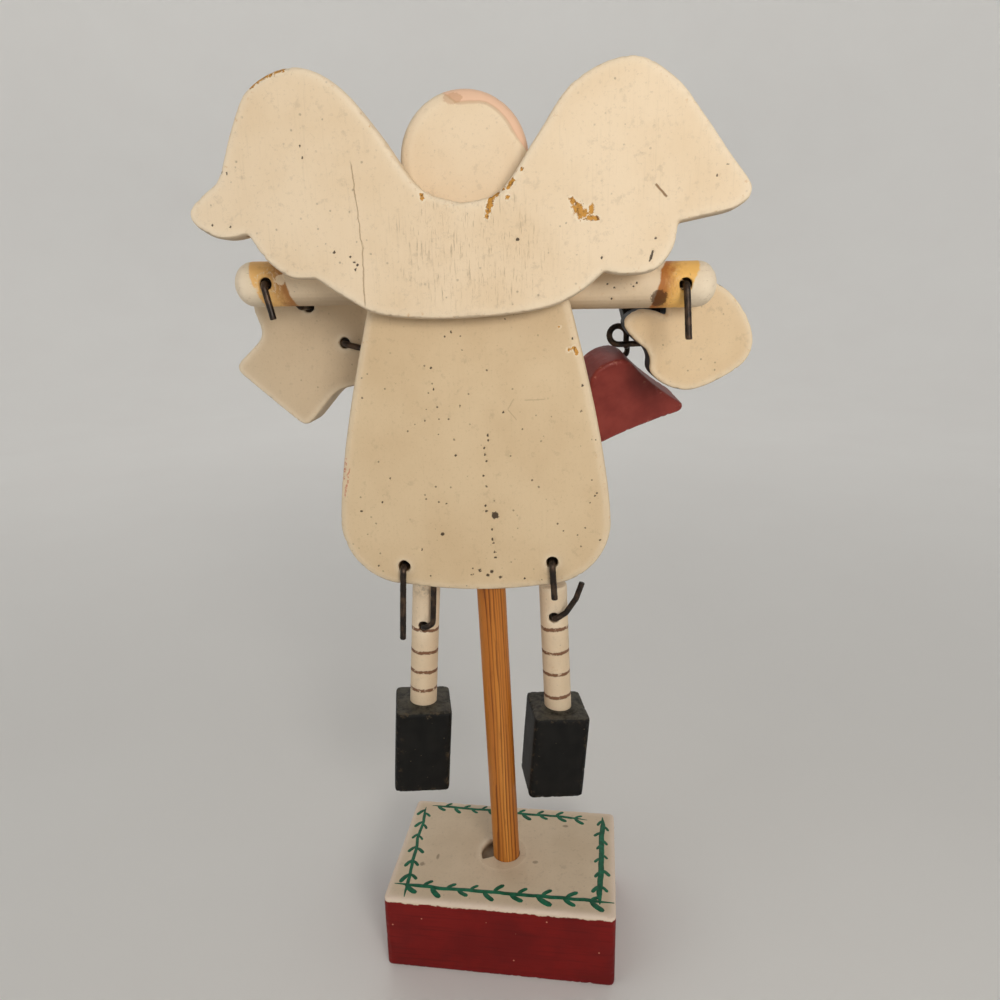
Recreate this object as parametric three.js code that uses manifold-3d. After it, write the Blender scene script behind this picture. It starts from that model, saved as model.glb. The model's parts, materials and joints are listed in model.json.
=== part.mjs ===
// Wooden angel ornament: a sawn angel on a dowel stand, with legs and cut-outs on bent wire.
// Millimetres and degrees, +Z up. The angel faces -Y, and its left hand is on the +X side.

import * as THREE from 'three';
import Module from 'manifold-3d';
import { mergeVertices } from 'three/addons/utils/BufferGeometryUtils.js';

// Gaps and rounding shared by many pieces
const GLUE_GAP = 0.3;
const WIRE_DIAMETER = 1.4;
const WIRE_PLAY = 0.5;
const PEG_PLAY = 0.4;
const WIRE_BEND = 1.3;
const EDGE_ROUND = 1.2;
const THIN_EDGE_ROUND = 0.8;

// Base block and post
const BASE_WIDTH = 52.4;
const BASE_DEPTH = 34.6;
const BASE_HEIGHT = 19;
const BASE_CORNER = 1.4;
const BASE_EDGE = 0.6;
const POST_DIAMETER = 6.35;
const POST_HOLE_PLAY = 0.75;
const POST_HOLE_SLACK = 2.2;
const POST_HOLE_SLACK_TURN = -10;
const POST_HOLE_DEPTH = 13;
const POST_LEAN = 1.85;
const POST_OFF_CENTRE = 2.3;
const POST_SOCKET_DEPTH = 26;
const HEM_HEIGHT = 72.3;
const FIGURE_TURN = 4;

// Dress, wings and head, with heights from the hem
const DRESS_THICKNESS = 19;
const DRESS_HEIGHT = 71.3;
const HEM_HALF_WIDTH = 27.5;
const HEM_CORNER = 13.5;
const HEM_BOW = 1.1;
const SIDE_BULGE = 26.6;
const SIDE_BULGE_HEIGHT = 32;
const SHOULDER_HALF_WIDTH = 16;
const SHOULDER_ROUND = 3;
const SHOULDER_TUCK = 1;
const WING_THICKNESS = 5.5;
const HEAD_DIAMETER = 23.2;
const HEAD_SINK = 0.7;

// Wing outlines, each from the neckline to the middle of the lower edge, as distance out and height
const NECKLINE = [0, 74.6];
const WING_FOOT = [0, 55];
const LEFT_WING = {
  crest: [[7.3, 77.3], [14.1, 86.4], [20.6, 93.8], [28, 96.7],
    [35.7, 93.8], [39.6, 87.3], [42.6, 79.8], [45.3, 77.4], [47.5, 75.7], [48.6, 74.2]],
  quill: [[48.4, 72.8], [47, 71.2], [44.2, 69.7], [41.4, 69.5], [38.4, 70.1]],
  lobe: [[35.4, 65.6], [31.3, 62.6], [26.7, 62.3]],
  skirt: [[21.9, 59.1], [16, 56], [8, 55]],
};
const RIGHT_WING = {
  crest: [[6.8, 76.5], [13.2, 85.1], [19.3, 93], [28.6, 96.5],
    [36, 93], [41.1, 87.1], [45.4, 81.4], [48.6, 77.5], [49.5, 75.8]],
  quill: [[49.2, 74.3], [48.2, 73.3], [46.3, 72.2], [42.6, 71.4], [37.3, 70.4]],
  lobe: [[36.7, 66.4], [33.6, 62.6], [28.4, 61.9], [24.8, 62.5]],
  skirt: [[20.9, 59.3], [16, 56.9], [9, 55.6]],
};

// Arms: dowels with rounded ends below the top of the dress, the left one set a little higher
const ARM_DIAMETER = 8.8;
const ARM_REACH = 47.4;
const ARM_SOCKET_DEPTH = 8;
const HAND_ROUND = 3.6;
const LEFT_HAND_HOLE_REACH = 40;
const RIGHT_HAND_HOLE_REACH = 40.9;
const LEFT_ARM_DROP = 9.4;
const RIGHT_ARM_DROP = 11;

// Legs and feet. A leg hangs across and below its hole in the dress, which is inset from the side
// of the hem. The wire's tail starts from that hole, and its free end from the hole in the leg.
const LEG_DIAMETER = 6.35;
const LEG_SHOWING = 30.5;
const LEG_FORWARD = 5;
const FOOT_WIDTH = 13;
const FOOT_HEIGHT = 21;
const FOOT_CORNER = 1.3;
const FOOT_EDGE = 0.6;
const FOOT_TURN = 11;
const FOOT_SOCKET_DEPTH = 6;
const LEFT_LEG = {
  side: 1,
  holeInset: 12.8,
  holeRise: 5.4,
  hang: [-1.3, -18.8],
  tail: [0.9, -15.8],
  freeEnd: [[-2.4, 1.2], [-3, 10.8]],
  holeBelowTop: 10.2,
  splay: 4,
  footTilt: 0,
};
const RIGHT_LEG = {
  side: -1,
  holeInset: 11.8,
  holeRise: 6.4,
  hang: [-0.5, -17.4],
  tail: [-0.5, -7.7],
  freeEnd: [[-2.6, 1.8], [-4.8, 5.2], [-6.1, 9]],
  holeBelowTop: 7,
  splay: -2.2,
  footTilt: 6.7,
};

// Cut-out ornaments, with places across and up from the wire hole in the hand that carries them
const CHARM_THICKNESS = 9.5;
const CHARM_ROUND = 2.4;
const CHARM_EDGE = 0.6;
const STAR_CENTRE = [-3, -14.9];
const STAR_TIP_ANGLES = [132.3, 42.2, -8.5, -81, -161.6];
const STAR_TIP_RADII = [22.3, 17.3, 18.2, 16.6, 17.4];
const STAR_NOTCH_ANGLES = [74.7, 22, -42.4, -122.7, 160.2];
const STAR_NOTCH_RADII = [13.3, 11.2, 14.1, 9.3, 13.3];
const STAR_TOP_HOLE = [-3.1, -4.7];
const STAR_SIDE_HOLE = [-10.5, -12.5];
const STAR_PEG = [17.5, 46.2];
const STAR_HOOK_END = [-1.4, -6.8];
const PEG_DEPTH = 6;
const MITTEN_HOLE = [-4, 0.6];
const ORNAMENT_HOOK_END = [-0.8, -10.2];
const BOOT_HOLE = [6.3, -0.6];
const BOOT_LEAN = 15.5;
const BOOT_OUTLINE = [[4.2, 3.5], [4.2, -9.5], [-6, -9.5], [-6, -6.4], [-3, -3.8], [-3, 3.5]];
const BELL_HOLE = [8.2, -20.3];
const BELL_BACK = -19.7;
const BELL_ROLL = 22.7;
const BELL_TILT = 19;
const BELL_YAW = 17;
const BELL_HEIGHT = 19.9;
const BELL_HALF_WIDTH = 14.4;
const BELL_CROWN_HALF_WIDTH = 5.3;
const BELL_CROWN_HEIGHT = 2.9;
const BELL_WAIST = [7.9, 9.5];
const BELL_LIP = 1.6;
const BELL_HOLLOW = 1.4;
const BELL_HOLE_ACROSS = -2.9;
const BELL_HOLE_DOWN = 5.5;
const BOOT_UNDERPASS = [4.5, -12.3];
const BELL_OVERPASS = -13.1;
const BELL_SIDE = [-4, 1.3];
const LOOP_CENTRE = [10.4, -10.5];
const LOOP_RADIUS = 1.95;
const LOOP_PITCH = 2.1;
const LOOP_STEPS = 18;

// Mitten outline, from the middle of its wire hole
const MITTEN_CUFF = [[-2.1, 3.1], [5.9, 3.1]];
const MITTEN_NOTCH = [5.7, -6.6];
const MITTEN_THUMB = [[8.2, -5.6], [11.2, -5.3], [13.6, -6.6], [14.2, -8.5], [12.5, -11], [9.5, -13.5]];
const MITTEN_PALM = [[8.7, -15.3], [8.6, -18], [6.5, -20.2], [3.3, -21.7], [-0.4, -22], [-5.6, -20],
  [-10.7, -16.5], [-12.3, -12.2], [-10.8, -7.1], [-7.2, -2.4], [-3.1, 0.3]];

// Sizes worked out from the ones above
const BACK = DRESS_THICKNESS / 2;
const FRONT = -DRESS_THICKNESS / 2;
const WIRE_RADIUS = WIRE_DIAMETER / 2;
const WIRE_HOLE_RADIUS = WIRE_RADIUS + WIRE_PLAY;
const WIRE_OFF = WIRE_RADIUS + GLUE_GAP;
const PEG_HOLE_RADIUS = WIRE_RADIUS + PEG_PLAY;
const ARM_RADIUS = ARM_DIAMETER / 2;
const LEFT_ARM_HEIGHT = DRESS_HEIGHT - LEFT_ARM_DROP;
const RIGHT_ARM_HEIGHT = DRESS_HEIGHT - RIGHT_ARM_DROP;
const LEG_RADIUS = LEG_DIAMETER / 2;
const POST_RADIUS = POST_DIAMETER / 2;
const STAR_BACK = FRONT - 2 * WIRE_OFF - GLUE_GAP;
const STAR_FRONT = STAR_BACK - CHARM_THICKNESS;
const MITTEN_BACK = -ARM_RADIUS - 2 * WIRE_OFF - GLUE_GAP * 3;
const MITTEN_FRONT = MITTEN_BACK - CHARM_THICKNESS;
const LOOP_BACK = MITTEN_FRONT - WIRE_OFF;
const BOOT_BACK = LOOP_BACK - LOOP_PITCH - WIRE_OFF;
const BOOT_FRONT = BOOT_BACK - CHARM_THICKNESS;

const wasm = await Module();
wasm.setup();

const rad = THREE.MathUtils.degToRad;

// Solids from meshes, and back
function solidOf(geometry) {
  const bare = geometry.clone();
  bare.deleteAttribute('normal');
  bare.deleteAttribute('uv');
  const merged = mergeVertices(bare, 1e-4);
  const vertProperties = new Float32Array(merged.attributes.position.array);
  const triVerts = new Uint32Array(merged.index.array);
  return new wasm.Manifold(new wasm.Mesh({ numProp: 3, vertProperties, triVerts }));
}

function geometryOf(solid) {
  const mesh = solid.getMesh();
  const geometry = new THREE.BufferGeometry();
  geometry.setAttribute('position', new THREE.BufferAttribute(mesh.vertProperties, 3));
  geometry.setIndex(new THREE.BufferAttribute(mesh.triVerts, 1));
  geometry.computeVertexNormals();
  return geometry;
}

function cut(geometry, ...tools) {
  let solid = solidOf(geometry);
  for (const tool of tools) solid = solid.subtract(solidOf(tool));
  return geometryOf(solid);
}

// A drill along Y, centred at a point of the figure
function drill(x, y, z, radius, length) {
  return new THREE.CylinderGeometry(radius, radius, length, 20).translate(x, y, z);
}

// A sawn board in the XZ plane, with its back at y = 0 and its front at -thickness
function board(shape, thickness, round, curveSegments = 5) {
  const geometry = new THREE.ExtrudeGeometry(shape, {
    depth: thickness - 2 * round,
    bevelEnabled: true,
    bevelThickness: round,
    bevelSize: round,
    bevelOffset: -round,
    bevelSegments: 2,
    curveSegments,
  });
  return geometry.translate(0, 0, round).rotateX(Math.PI / 2);
}

// An outline through corner points, each corner rounded
function roundedOutline(points, radius) {
  const corners = points.map(([x, y]) => new THREE.Vector2(x, y));
  const shape = new THREE.Shape();
  corners.forEach((corner, index) => {
    const before = corners[(index + corners.length - 1) % corners.length];
    const after = corners[(index + 1) % corners.length];
    const reach = Math.min(radius, corner.distanceTo(before) / 2, corner.distanceTo(after) / 2);
    const start = before.clone().sub(corner).setLength(reach).add(corner);
    const end = after.clone().sub(corner).setLength(reach).add(corner);
    if (index === 0) shape.moveTo(start.x, start.y);
    else shape.lineTo(start.x, start.y);
    shape.quadraticCurveTo(corner.x, corner.y, end.x, end.y);
  });
  shape.closePath();
  return shape;
}

function spline(shape, points) {
  shape.splineThru(points.map(([x, y]) => new THREE.Vector2(x, y)));
}

// The centre line of a bent wire, through stations that are close only where it bends
class WireRoute extends THREE.Curve {
  constructor(stations) {
    super();
    this.stations = stations;
  }

  getPoint(t, target = new THREE.Vector3()) {
    const place = t * (this.stations.length - 1);
    const index = Math.min(Math.floor(place), this.stations.length - 2);
    return target.lerpVectors(this.stations[index], this.stations[index + 1], place - index);
  }

  getTangent(t, target = new THREE.Vector3()) {
    const last = this.stations.length - 1;
    const index = Math.round(t * last);
    const here = this.stations[index];
    const ahead = this.stations[Math.min(index + 1, last)].clone().sub(here).normalize();
    const behind = here.clone().sub(this.stations[Math.max(index - 1, 0)]).normalize();
    return target.copy(ahead).add(behind).normalize();
  }

  getPointAt(u, target) {
    return this.getPoint(u, target);
  }

  getTangentAt(u, target) {
    return this.getTangent(u, target);
  }
}

// Stations of a wire through corners, each corner bent to an arc
function bentStations(corners, bend = WIRE_BEND) {
  const points = corners.map((corner) => new THREE.Vector3(...corner));
  const stations = [points[0]];
  for (let i = 1; i < points.length - 1; i += 1) {
    const back = points[i - 1].clone().sub(points[i]);
    const ahead = points[i + 1].clone().sub(points[i]);
    const turn = Math.PI - back.angleTo(ahead);
    const reach = Math.min(bend * Math.tan(turn / 2), back.length() * 0.48, ahead.length() * 0.48);
    const start = back.setLength(reach).add(points[i]);
    const end = ahead.setLength(reach).add(points[i]);
    const steps = Math.max(2, Math.ceil(turn / rad(22)));
    const arc = new THREE.QuadraticBezierCurve3(start, points[i], end);
    stations.push(...arc.getPoints(steps));
  }
  stations.push(points[points.length - 1]);
  return stations;
}

function wireTube(stations) {
  const section = new THREE.Shape();
  section.absarc(0, 0, WIRE_RADIUS, 0, Math.PI * 2);
  const route = new WireRoute(stations);
  const steps = stations.length - 1;
  return new THREE.ExtrudeGeometry(section, { steps, extrudePath: route, curveSegments: 4 });
}

// The least clear gap of a looped wire to itself, between points more than half a turn apart
function selfGap(stations) {
  const route = new THREE.CatmullRomCurve3(stations, false, 'centripetal');
  const count = 400;
  const points = route.getSpacedPoints(count);
  const apart = Math.ceil((Math.PI * LOOP_RADIUS * count) / route.getLength());
  let least = Infinity;
  for (let i = 0; i <= count; i += 1) {
    for (let j = i + apart; j <= count; j += 1) least = Math.min(least, points[i].distanceTo(points[j]));
  }
  return least - WIRE_DIAMETER;
}

function piece(parent, name, geometry, color, roughness, metalness = 0) {
  const material = new THREE.MeshStandardMaterial({ color, roughness, metalness });
  const mesh = new THREE.Mesh(geometry, material);
  mesh.name = name;
  parent.add(mesh);
  return mesh;
}

const CREAM = 0xe6d3b3;
const RED = 0x7d2420;
const PINE = 0xc88b45;
const BLACK = 0x1c1d1b;
const WIRE_BLACK = 0x3a342c;

const angel = new THREE.Group();

// The turned part stands in the base, and the figure's own frame starts at the middle of its hem
const turned = new THREE.Group();
turned.position.z = BASE_HEIGHT;
turned.rotation.z = rad(FIGURE_TURN);
angel.add(turned);
const figure = new THREE.Group();
figure.position.set(HEM_HEIGHT * Math.tan(rad(POST_LEAN)) + POST_OFF_CENTRE, 0, HEM_HEIGHT);
turned.add(figure);

// Base block with a loose blind hole, which is wider than the post on one side
function baseBlock() {
  const x = BASE_WIDTH / 2;
  const y = BASE_DEPTH / 2;
  const outline = roundedOutline([[-x, -y], [x, -y], [x, y], [-x, y]], BASE_CORNER);
  const block = board(outline, BASE_HEIGHT, BASE_EDGE).rotateX(-Math.PI / 2);
  const offCentre = POST_HOLE_SLACK / 2;
  const holeRadius = POST_RADIUS + POST_HOLE_PLAY + offCentre;
  const hole = new THREE.CylinderGeometry(holeRadius, holeRadius, POST_HOLE_DEPTH * 2, 32);
  hole.rotateX(Math.PI / 2).translate(offCentre, 0, BASE_HEIGHT).rotateZ(rad(POST_HOLE_SLACK_TURN));
  return cut(block, hole);
}

// A bore or dowel along the leaning post, between two heights above the base
function postRod(radius, low, high) {
  const rod = new THREE.CylinderGeometry(radius, radius, high - low, 32);
  return rod.rotateX(Math.PI / 2).translate(0, 0, (low + high) / 2).rotateY(rad(POST_LEAN));
}

const postEnd = GLUE_GAP + POST_RADIUS * Math.sin(rad(POST_LEAN));
const postTop = (HEM_HEIGHT + POST_SOCKET_DEPTH) / Math.cos(rad(POST_LEAN));

piece(angel, 'base_block', baseBlock(), RED, 0.6);
const postDowel = postRod(POST_RADIUS, postEnd - POST_HOLE_DEPTH, postTop - GLUE_GAP);
piece(turned, 'post_dowel', postDowel, PINE, 0.65);

// Dress: a bell-sided board, drilled for the post, the arms and the wires
function dressOutline() {
  const cornerX = HEM_HALF_WIDTH - HEM_CORNER;
  const cornerZ = HEM_BOW + HEM_CORNER;
  const shoulderZ = DRESS_HEIGHT - SHOULDER_ROUND;
  const tuckX = SHOULDER_HALF_WIDTH - SHOULDER_TUCK;
  const topX = tuckX - SHOULDER_ROUND;
  const shape = new THREE.Shape();
  shape.moveTo(-cornerX, HEM_BOW);
  shape.quadraticCurveTo(0, -HEM_BOW, cornerX, HEM_BOW);
  shape.absarc(cornerX, cornerZ, HEM_CORNER, -Math.PI / 2, 0);
  shape.quadraticCurveTo(SIDE_BULGE, SIDE_BULGE_HEIGHT, SHOULDER_HALF_WIDTH, shoulderZ);
  shape.quadraticCurveTo(tuckX, DRESS_HEIGHT, topX, DRESS_HEIGHT);
  shape.lineTo(-topX, DRESS_HEIGHT);
  shape.quadraticCurveTo(-tuckX, DRESS_HEIGHT, -SHOULDER_HALF_WIDTH, shoulderZ);
  shape.quadraticCurveTo(-SIDE_BULGE, SIDE_BULGE_HEIGHT, -HEM_HALF_WIDTH, cornerZ);
  shape.absarc(-cornerX, cornerZ, HEM_CORNER, Math.PI, Math.PI * 1.5);
  return shape;
}

// How far the side of the dress is from its middle at a height
function dressHalfWidth(height) {
  const low = new THREE.Vector2(HEM_HALF_WIDTH, HEM_BOW + HEM_CORNER);
  const bulge = new THREE.Vector2(SIDE_BULGE, SIDE_BULGE_HEIGHT);
  const high = new THREE.Vector2(SHOULDER_HALF_WIDTH, DRESS_HEIGHT - SHOULDER_ROUND);
  const side = new THREE.QuadraticBezierCurve(low, bulge, high).getPoints(200);
  return side.findLast((point) => point.y <= height).x;
}

const LEFT_ARM = { side: 1, height: LEFT_ARM_HEIGHT, holeReach: LEFT_HAND_HOLE_REACH };
const RIGHT_ARM = { side: -1, height: RIGHT_ARM_HEIGHT, holeReach: RIGHT_HAND_HOLE_REACH };

function armRoot({ height }) {
  return dressHalfWidth(height) - ARM_SOCKET_DEPTH;
}

function armSocket(arm) {
  const radius = ARM_RADIUS + GLUE_GAP;
  const length = ARM_SOCKET_DEPTH * 3;
  const bore = new THREE.CylinderGeometry(radius, radius, length, 32).rotateZ(Math.PI / 2);
  return bore.translate(arm.side * (armRoot(arm) - GLUE_GAP + length / 2), 0, arm.height);
}

// Where a leg's wire goes through the dress, and where it goes through the leg
function dressHole({ side, holeInset, holeRise }) {
  return [side * (HEM_HALF_WIDTH - holeInset), holeRise];
}

function legHole(leg) {
  const [x, z] = dressHole(leg);
  return [x + leg.hang[0], z + leg.hang[1]];
}

function dressPanel() {
  const panel = board(dressOutline(), DRESS_THICKNESS, EDGE_ROUND, 10).translate(0, BACK, 0);
  const shift = figure.position;
  const bore = postRod(POST_RADIUS + GLUE_GAP, HEM_HEIGHT / 2, postTop).translate(-shift.x, 0, -shift.z);
  const legHoles = [LEFT_LEG, RIGHT_LEG].map((leg) => {
    const [x, z] = dressHole(leg);
    return drill(x, 0, z, WIRE_HOLE_RADIUS, DRESS_THICKNESS * 2);
  });
  const peg = drill(STAR_PEG[0], FRONT, STAR_PEG[1], PEG_HOLE_RADIUS, 2 * (PEG_DEPTH + GLUE_GAP));
  return cut(panel, bore, peg, armSocket(LEFT_ARM), armSocket(RIGHT_ARM), ...legHoles);
}

piece(figure, 'dress_panel', dressPanel(), CREAM, 0.55);

// Wings: one thin panel glued on the back of the dress, each half cut freehand
function wingOutline() {
  const mirrored = (points) => points.map(([x, z]) => [-x, z]);
  const shape = new THREE.Shape();
  shape.moveTo(...NECKLINE);
  spline(shape, LEFT_WING.crest);
  spline(shape, LEFT_WING.quill);
  spline(shape, LEFT_WING.lobe);
  const crest = mirrored(RIGHT_WING.crest).reverse();
  const quill = mirrored(RIGHT_WING.quill).reverse();
  const lobe = mirrored(RIGHT_WING.lobe).reverse();
  const skirt = mirrored(RIGHT_WING.skirt).reverse();
  spline(shape, [...LEFT_WING.skirt, WING_FOOT, ...skirt, lobe[0]]);
  spline(shape, [...lobe.slice(1), quill[0]]);
  spline(shape, [...quill.slice(1), crest[0]]);
  spline(shape, [...crest.slice(1), NECKLINE]);
  return shape;
}

const wingBack = BACK + GLUE_GAP + WING_THICKNESS;
const wingBoard = board(wingOutline(), WING_THICKNESS, THIN_EDGE_ROUND, 4);
const wings = piece(figure, 'wing_panel', wingBoard, CREAM, 0.55);
wings.position.y = wingBack;

// Head: a disc with a small flat where it stands on the dress
function headDisc() {
  const radius = HEAD_DIAMETER / 2;
  const flat = Math.acos((radius - HEAD_SINK) / radius);
  const shape = new THREE.Shape();
  shape.absarc(0, 0, radius, flat - Math.PI / 2, Math.PI * 1.5 - flat);
  shape.closePath();
  return board(shape, DRESS_THICKNESS, EDGE_ROUND * 1.5, 20);
}

const head = piece(figure, 'head_disc', headDisc(), CREAM, 0.55);
head.position.set(0, BACK, DRESS_HEIGHT + GLUE_GAP + HEAD_DIAMETER / 2 - HEAD_SINK);

// Arms: round dowels with a wire hole through each hand
function armDowel(arm) {
  const root = armRoot(arm);
  const length = ARM_REACH - root;
  const profile = new THREE.Path();
  profile.moveTo(0, 0);
  profile.lineTo(ARM_RADIUS, 0);
  profile.lineTo(ARM_RADIUS, length - HAND_ROUND);
  profile.bezierCurveTo(ARM_RADIUS, length - HAND_ROUND / 2, ARM_RADIUS * 0.6, length, 0, length);
  const dowel = new THREE.LatheGeometry(profile.getPoints(6), 28).rotateZ(-Math.PI / 2);
  const hole = drill(arm.holeReach - root, 0, 0, WIRE_HOLE_RADIUS, ARM_DIAMETER * 2);
  return cut(dowel, hole).translate(root, 0, 0);
}

for (const [name, arm] of [['arm_left', LEFT_ARM], ['arm_right', RIGHT_ARM]]) {
  const dowel = piece(figure, name, armDowel(arm), CREAM, 0.55);
  dowel.position.z = arm.height;
  if (arm.side < 0) dowel.rotation.z = Math.PI;
}

// Legs: each in a group at its wire hole, splayed as it hangs
function legDowel({ holeBelowTop }) {
  const low = holeBelowTop - LEG_SHOWING - FOOT_SOCKET_DEPTH;
  const dowel = new THREE.CylinderGeometry(LEG_RADIUS, LEG_RADIUS, holeBelowTop - low, 28);
  dowel.rotateX(Math.PI / 2).translate(0, 0, (holeBelowTop + low) / 2);
  return cut(dowel, drill(0, 0, 0, WIRE_HOLE_RADIUS, LEG_DIAMETER * 2));
}

function footBlock({ holeBelowTop, footTilt }) {
  const top = holeBelowTop - LEG_SHOWING;
  const half = FOOT_WIDTH / 2;
  const outline = roundedOutline([[-half, -half], [half, -half], [half, half], [-half, half]], FOOT_CORNER);
  const block = board(outline, FOOT_HEIGHT, FOOT_EDGE).rotateX(-Math.PI / 2).translate(0, 0, -FOOT_HEIGHT);
  const turnedBlock = block.rotateZ(rad(FOOT_TURN)).rotateY(rad(-footTilt)).translate(0, 0, top);
  const radius = LEG_RADIUS + GLUE_GAP;
  const socketDepth = FOOT_SOCKET_DEPTH + GLUE_GAP;
  const socket = new THREE.CylinderGeometry(radius, radius, socketDepth * 2, 28).rotateX(Math.PI / 2);
  return cut(turnedBlock, socket.translate(0, 0, top));
}

// A leg wire: down the back, through the dress, down the front, and back through the leg to a free end
function legWire(leg) {
  const back = BACK + WIRE_OFF;
  const front = FRONT - WIRE_OFF;
  const behindLeg = LEG_RADIUS - LEG_FORWARD + WIRE_OFF;
  const [dressX, dressZ] = dressHole(leg);
  const [legX, legZ] = legHole(leg);
  const corners = [
    [dressX + leg.tail[0], back, dressZ + leg.tail[1]],
    [dressX, back, dressZ],
    [dressX, front, dressZ],
    [legX, front, legZ],
    [legX, behindLeg, legZ],
    ...leg.freeEnd.map(([x, z]) => [legX + x, behindLeg, legZ + z]),
  ];
  return wireTube(bentStations(corners));
}

for (const [side, leg] of [['left', LEFT_LEG], ['right', RIGHT_LEG]]) {
  const [legX, legZ] = legHole(leg);
  const hanging = new THREE.Group();
  hanging.position.set(legX, -LEG_FORWARD, legZ);
  hanging.rotation.y = rad(-leg.splay);
  figure.add(hanging);
  piece(hanging, `leg_${side}`, legDowel(leg), CREAM, 0.6);
  piece(hanging, `foot_${side}`, footBlock(leg), BLACK, 0.5);
  piece(figure, `leg_wire_${side}`, legWire(leg), WIRE_BLACK, 0.5, 0.8);
}

// The hands carry the ornaments, so each hand's wire hole has a frame of its own
const leftHand = new THREE.Group();
leftHand.position.set(LEFT_HAND_HOLE_REACH, 0, LEFT_ARM_HEIGHT);
const rightHand = new THREE.Group();
rightHand.position.set(-RIGHT_HAND_HOLE_REACH, 0, RIGHT_ARM_HEIGHT);
figure.add(leftHand, rightHand);

// Star: uneven five-point cut-out, held by its wire near its top and at one side
function starPoint(angle, radius) {
  const x = STAR_CENTRE[0] + radius * Math.cos(rad(angle));
  const z = STAR_CENTRE[1] + radius * Math.sin(rad(angle));
  return [x, z];
}

function starCharm() {
  const points = STAR_TIP_ANGLES.flatMap((angle, i) => [
    starPoint(angle, STAR_TIP_RADII[i]),
    starPoint(STAR_NOTCH_ANGLES[i], STAR_NOTCH_RADII[i]),
  ]);
  const star = board(roundedOutline(points.reverse(), CHARM_ROUND), CHARM_THICKNESS, CHARM_EDGE, 3);
  const holes = [STAR_TOP_HOLE, STAR_SIDE_HOLE].map(([x, z]) => (
    drill(x, 0, z, WIRE_HOLE_RADIUS, CHARM_THICKNESS * 3)));
  return cut(star, ...holes);
}

const star = piece(leftHand, 'star_charm', starCharm(), CREAM, 0.55);
star.position.y = STAR_BACK;

// Star wire: hooked behind the left hand, through the star, and pegged into the front of the dress
const behindHand = ARM_RADIUS + WIRE_OFF;
const pegX = STAR_PEG[0] - LEFT_HAND_HOLE_REACH;
const pegZ = STAR_PEG[1] - LEFT_ARM_HEIGHT;
const starWireCorners = [
  [STAR_HOOK_END[0], behindHand, STAR_HOOK_END[1]],
  [0, behindHand, 0],
  [0, -behindHand, 0],
  [STAR_TOP_HOLE[0], -behindHand - WIRE_OFF, STAR_TOP_HOLE[1]],
  [STAR_TOP_HOLE[0], STAR_FRONT - WIRE_OFF, STAR_TOP_HOLE[1]],
  [STAR_SIDE_HOLE[0], STAR_FRONT - WIRE_OFF, STAR_SIDE_HOLE[1]],
  [STAR_SIDE_HOLE[0], FRONT - WIRE_OFF, STAR_SIDE_HOLE[1]],
  [pegX, FRONT - WIRE_OFF, pegZ],
  [pegX, FRONT + PEG_DEPTH, pegZ],
];
piece(leftHand, 'star_wire', wireTube(bentStations(starWireCorners)), WIRE_BLACK, 0.5, 0.8);

// Mitten: hangs on the wire in front of the right hand
function mittenCharm() {
  const shape = new THREE.Shape();
  shape.moveTo(...MITTEN_CUFF[1]);
  shape.lineTo(...MITTEN_NOTCH);
  spline(shape, MITTEN_THUMB);
  spline(shape, MITTEN_PALM);
  shape.lineTo(...MITTEN_CUFF[0]);
  shape.closePath();
  const mitten = board(shape, CHARM_THICKNESS, CHARM_EDGE, 3);
  return cut(mitten, drill(0, 0, 0, WIRE_HOLE_RADIUS, CHARM_THICKNESS * 3));
}

const mitten = piece(rightHand, 'mitten_charm', mittenCharm(), CREAM, 0.55);
mitten.position.set(MITTEN_HOLE[0], MITTEN_BACK, MITTEN_HOLE[1]);

// Boot: small cut-out on the same wire, in front of the mitten
const boot = piece(rightHand, 'boot_charm', cut(
  board(roundedOutline(BOOT_OUTLINE, CHARM_ROUND), CHARM_THICKNESS, CHARM_EDGE, 3),
  drill(0, 0, 0, WIRE_HOLE_RADIUS, CHARM_THICKNESS * 3),
), BLACK, 0.5);
boot.position.set(BOOT_HOLE[0], BOOT_BACK, BOOT_HOLE[1]);
boot.rotation.y = rad(BOOT_LEAN);

// Bell: flared cut-out hung on a peg near its crown, tipped and turned as it hangs
function bellCharm() {
  const lip = BELL_HALF_WIDTH - BELL_LIP;
  const flankTop = BELL_LIP - BELL_HEIGHT;
  const crownSide = BELL_CROWN_HALF_WIDTH * 0.9;
  const crownFlat = BELL_CROWN_HALF_WIDTH * 0.55;
  const crownX = BELL_CROWN_HALF_WIDTH;
  const crownZ = -BELL_CROWN_HEIGHT;
  const shape = new THREE.Shape();
  shape.moveTo(0, 0);
  shape.bezierCurveTo(-crownFlat, 0, -crownSide, crownZ / 2, -crownX, crownZ);
  shape.quadraticCurveTo(-BELL_WAIST[0], -BELL_WAIST[1], -BELL_HALF_WIDTH, flankTop);
  shape.quadraticCurveTo(-BELL_HALF_WIDTH, -BELL_HEIGHT, -lip, -BELL_HEIGHT);
  shape.quadraticCurveTo(0, BELL_HOLLOW - BELL_HEIGHT, lip, -BELL_HEIGHT);
  shape.quadraticCurveTo(BELL_HALF_WIDTH, -BELL_HEIGHT, BELL_HALF_WIDTH, flankTop);
  shape.quadraticCurveTo(BELL_WAIST[0], -BELL_WAIST[1], crownX, crownZ);
  shape.bezierCurveTo(crownSide, crownZ / 2, crownFlat, 0, 0, 0);
  const bell = board(shape, CHARM_THICKNESS, CHARM_EDGE, 5);
  bell.translate(-BELL_HOLE_ACROSS, 0, BELL_HOLE_DOWN);
  return cut(bell, drill(0, -CHARM_THICKNESS, 0, PEG_HOLE_RADIUS, 2 * (PEG_DEPTH + GLUE_GAP)));
}

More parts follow.
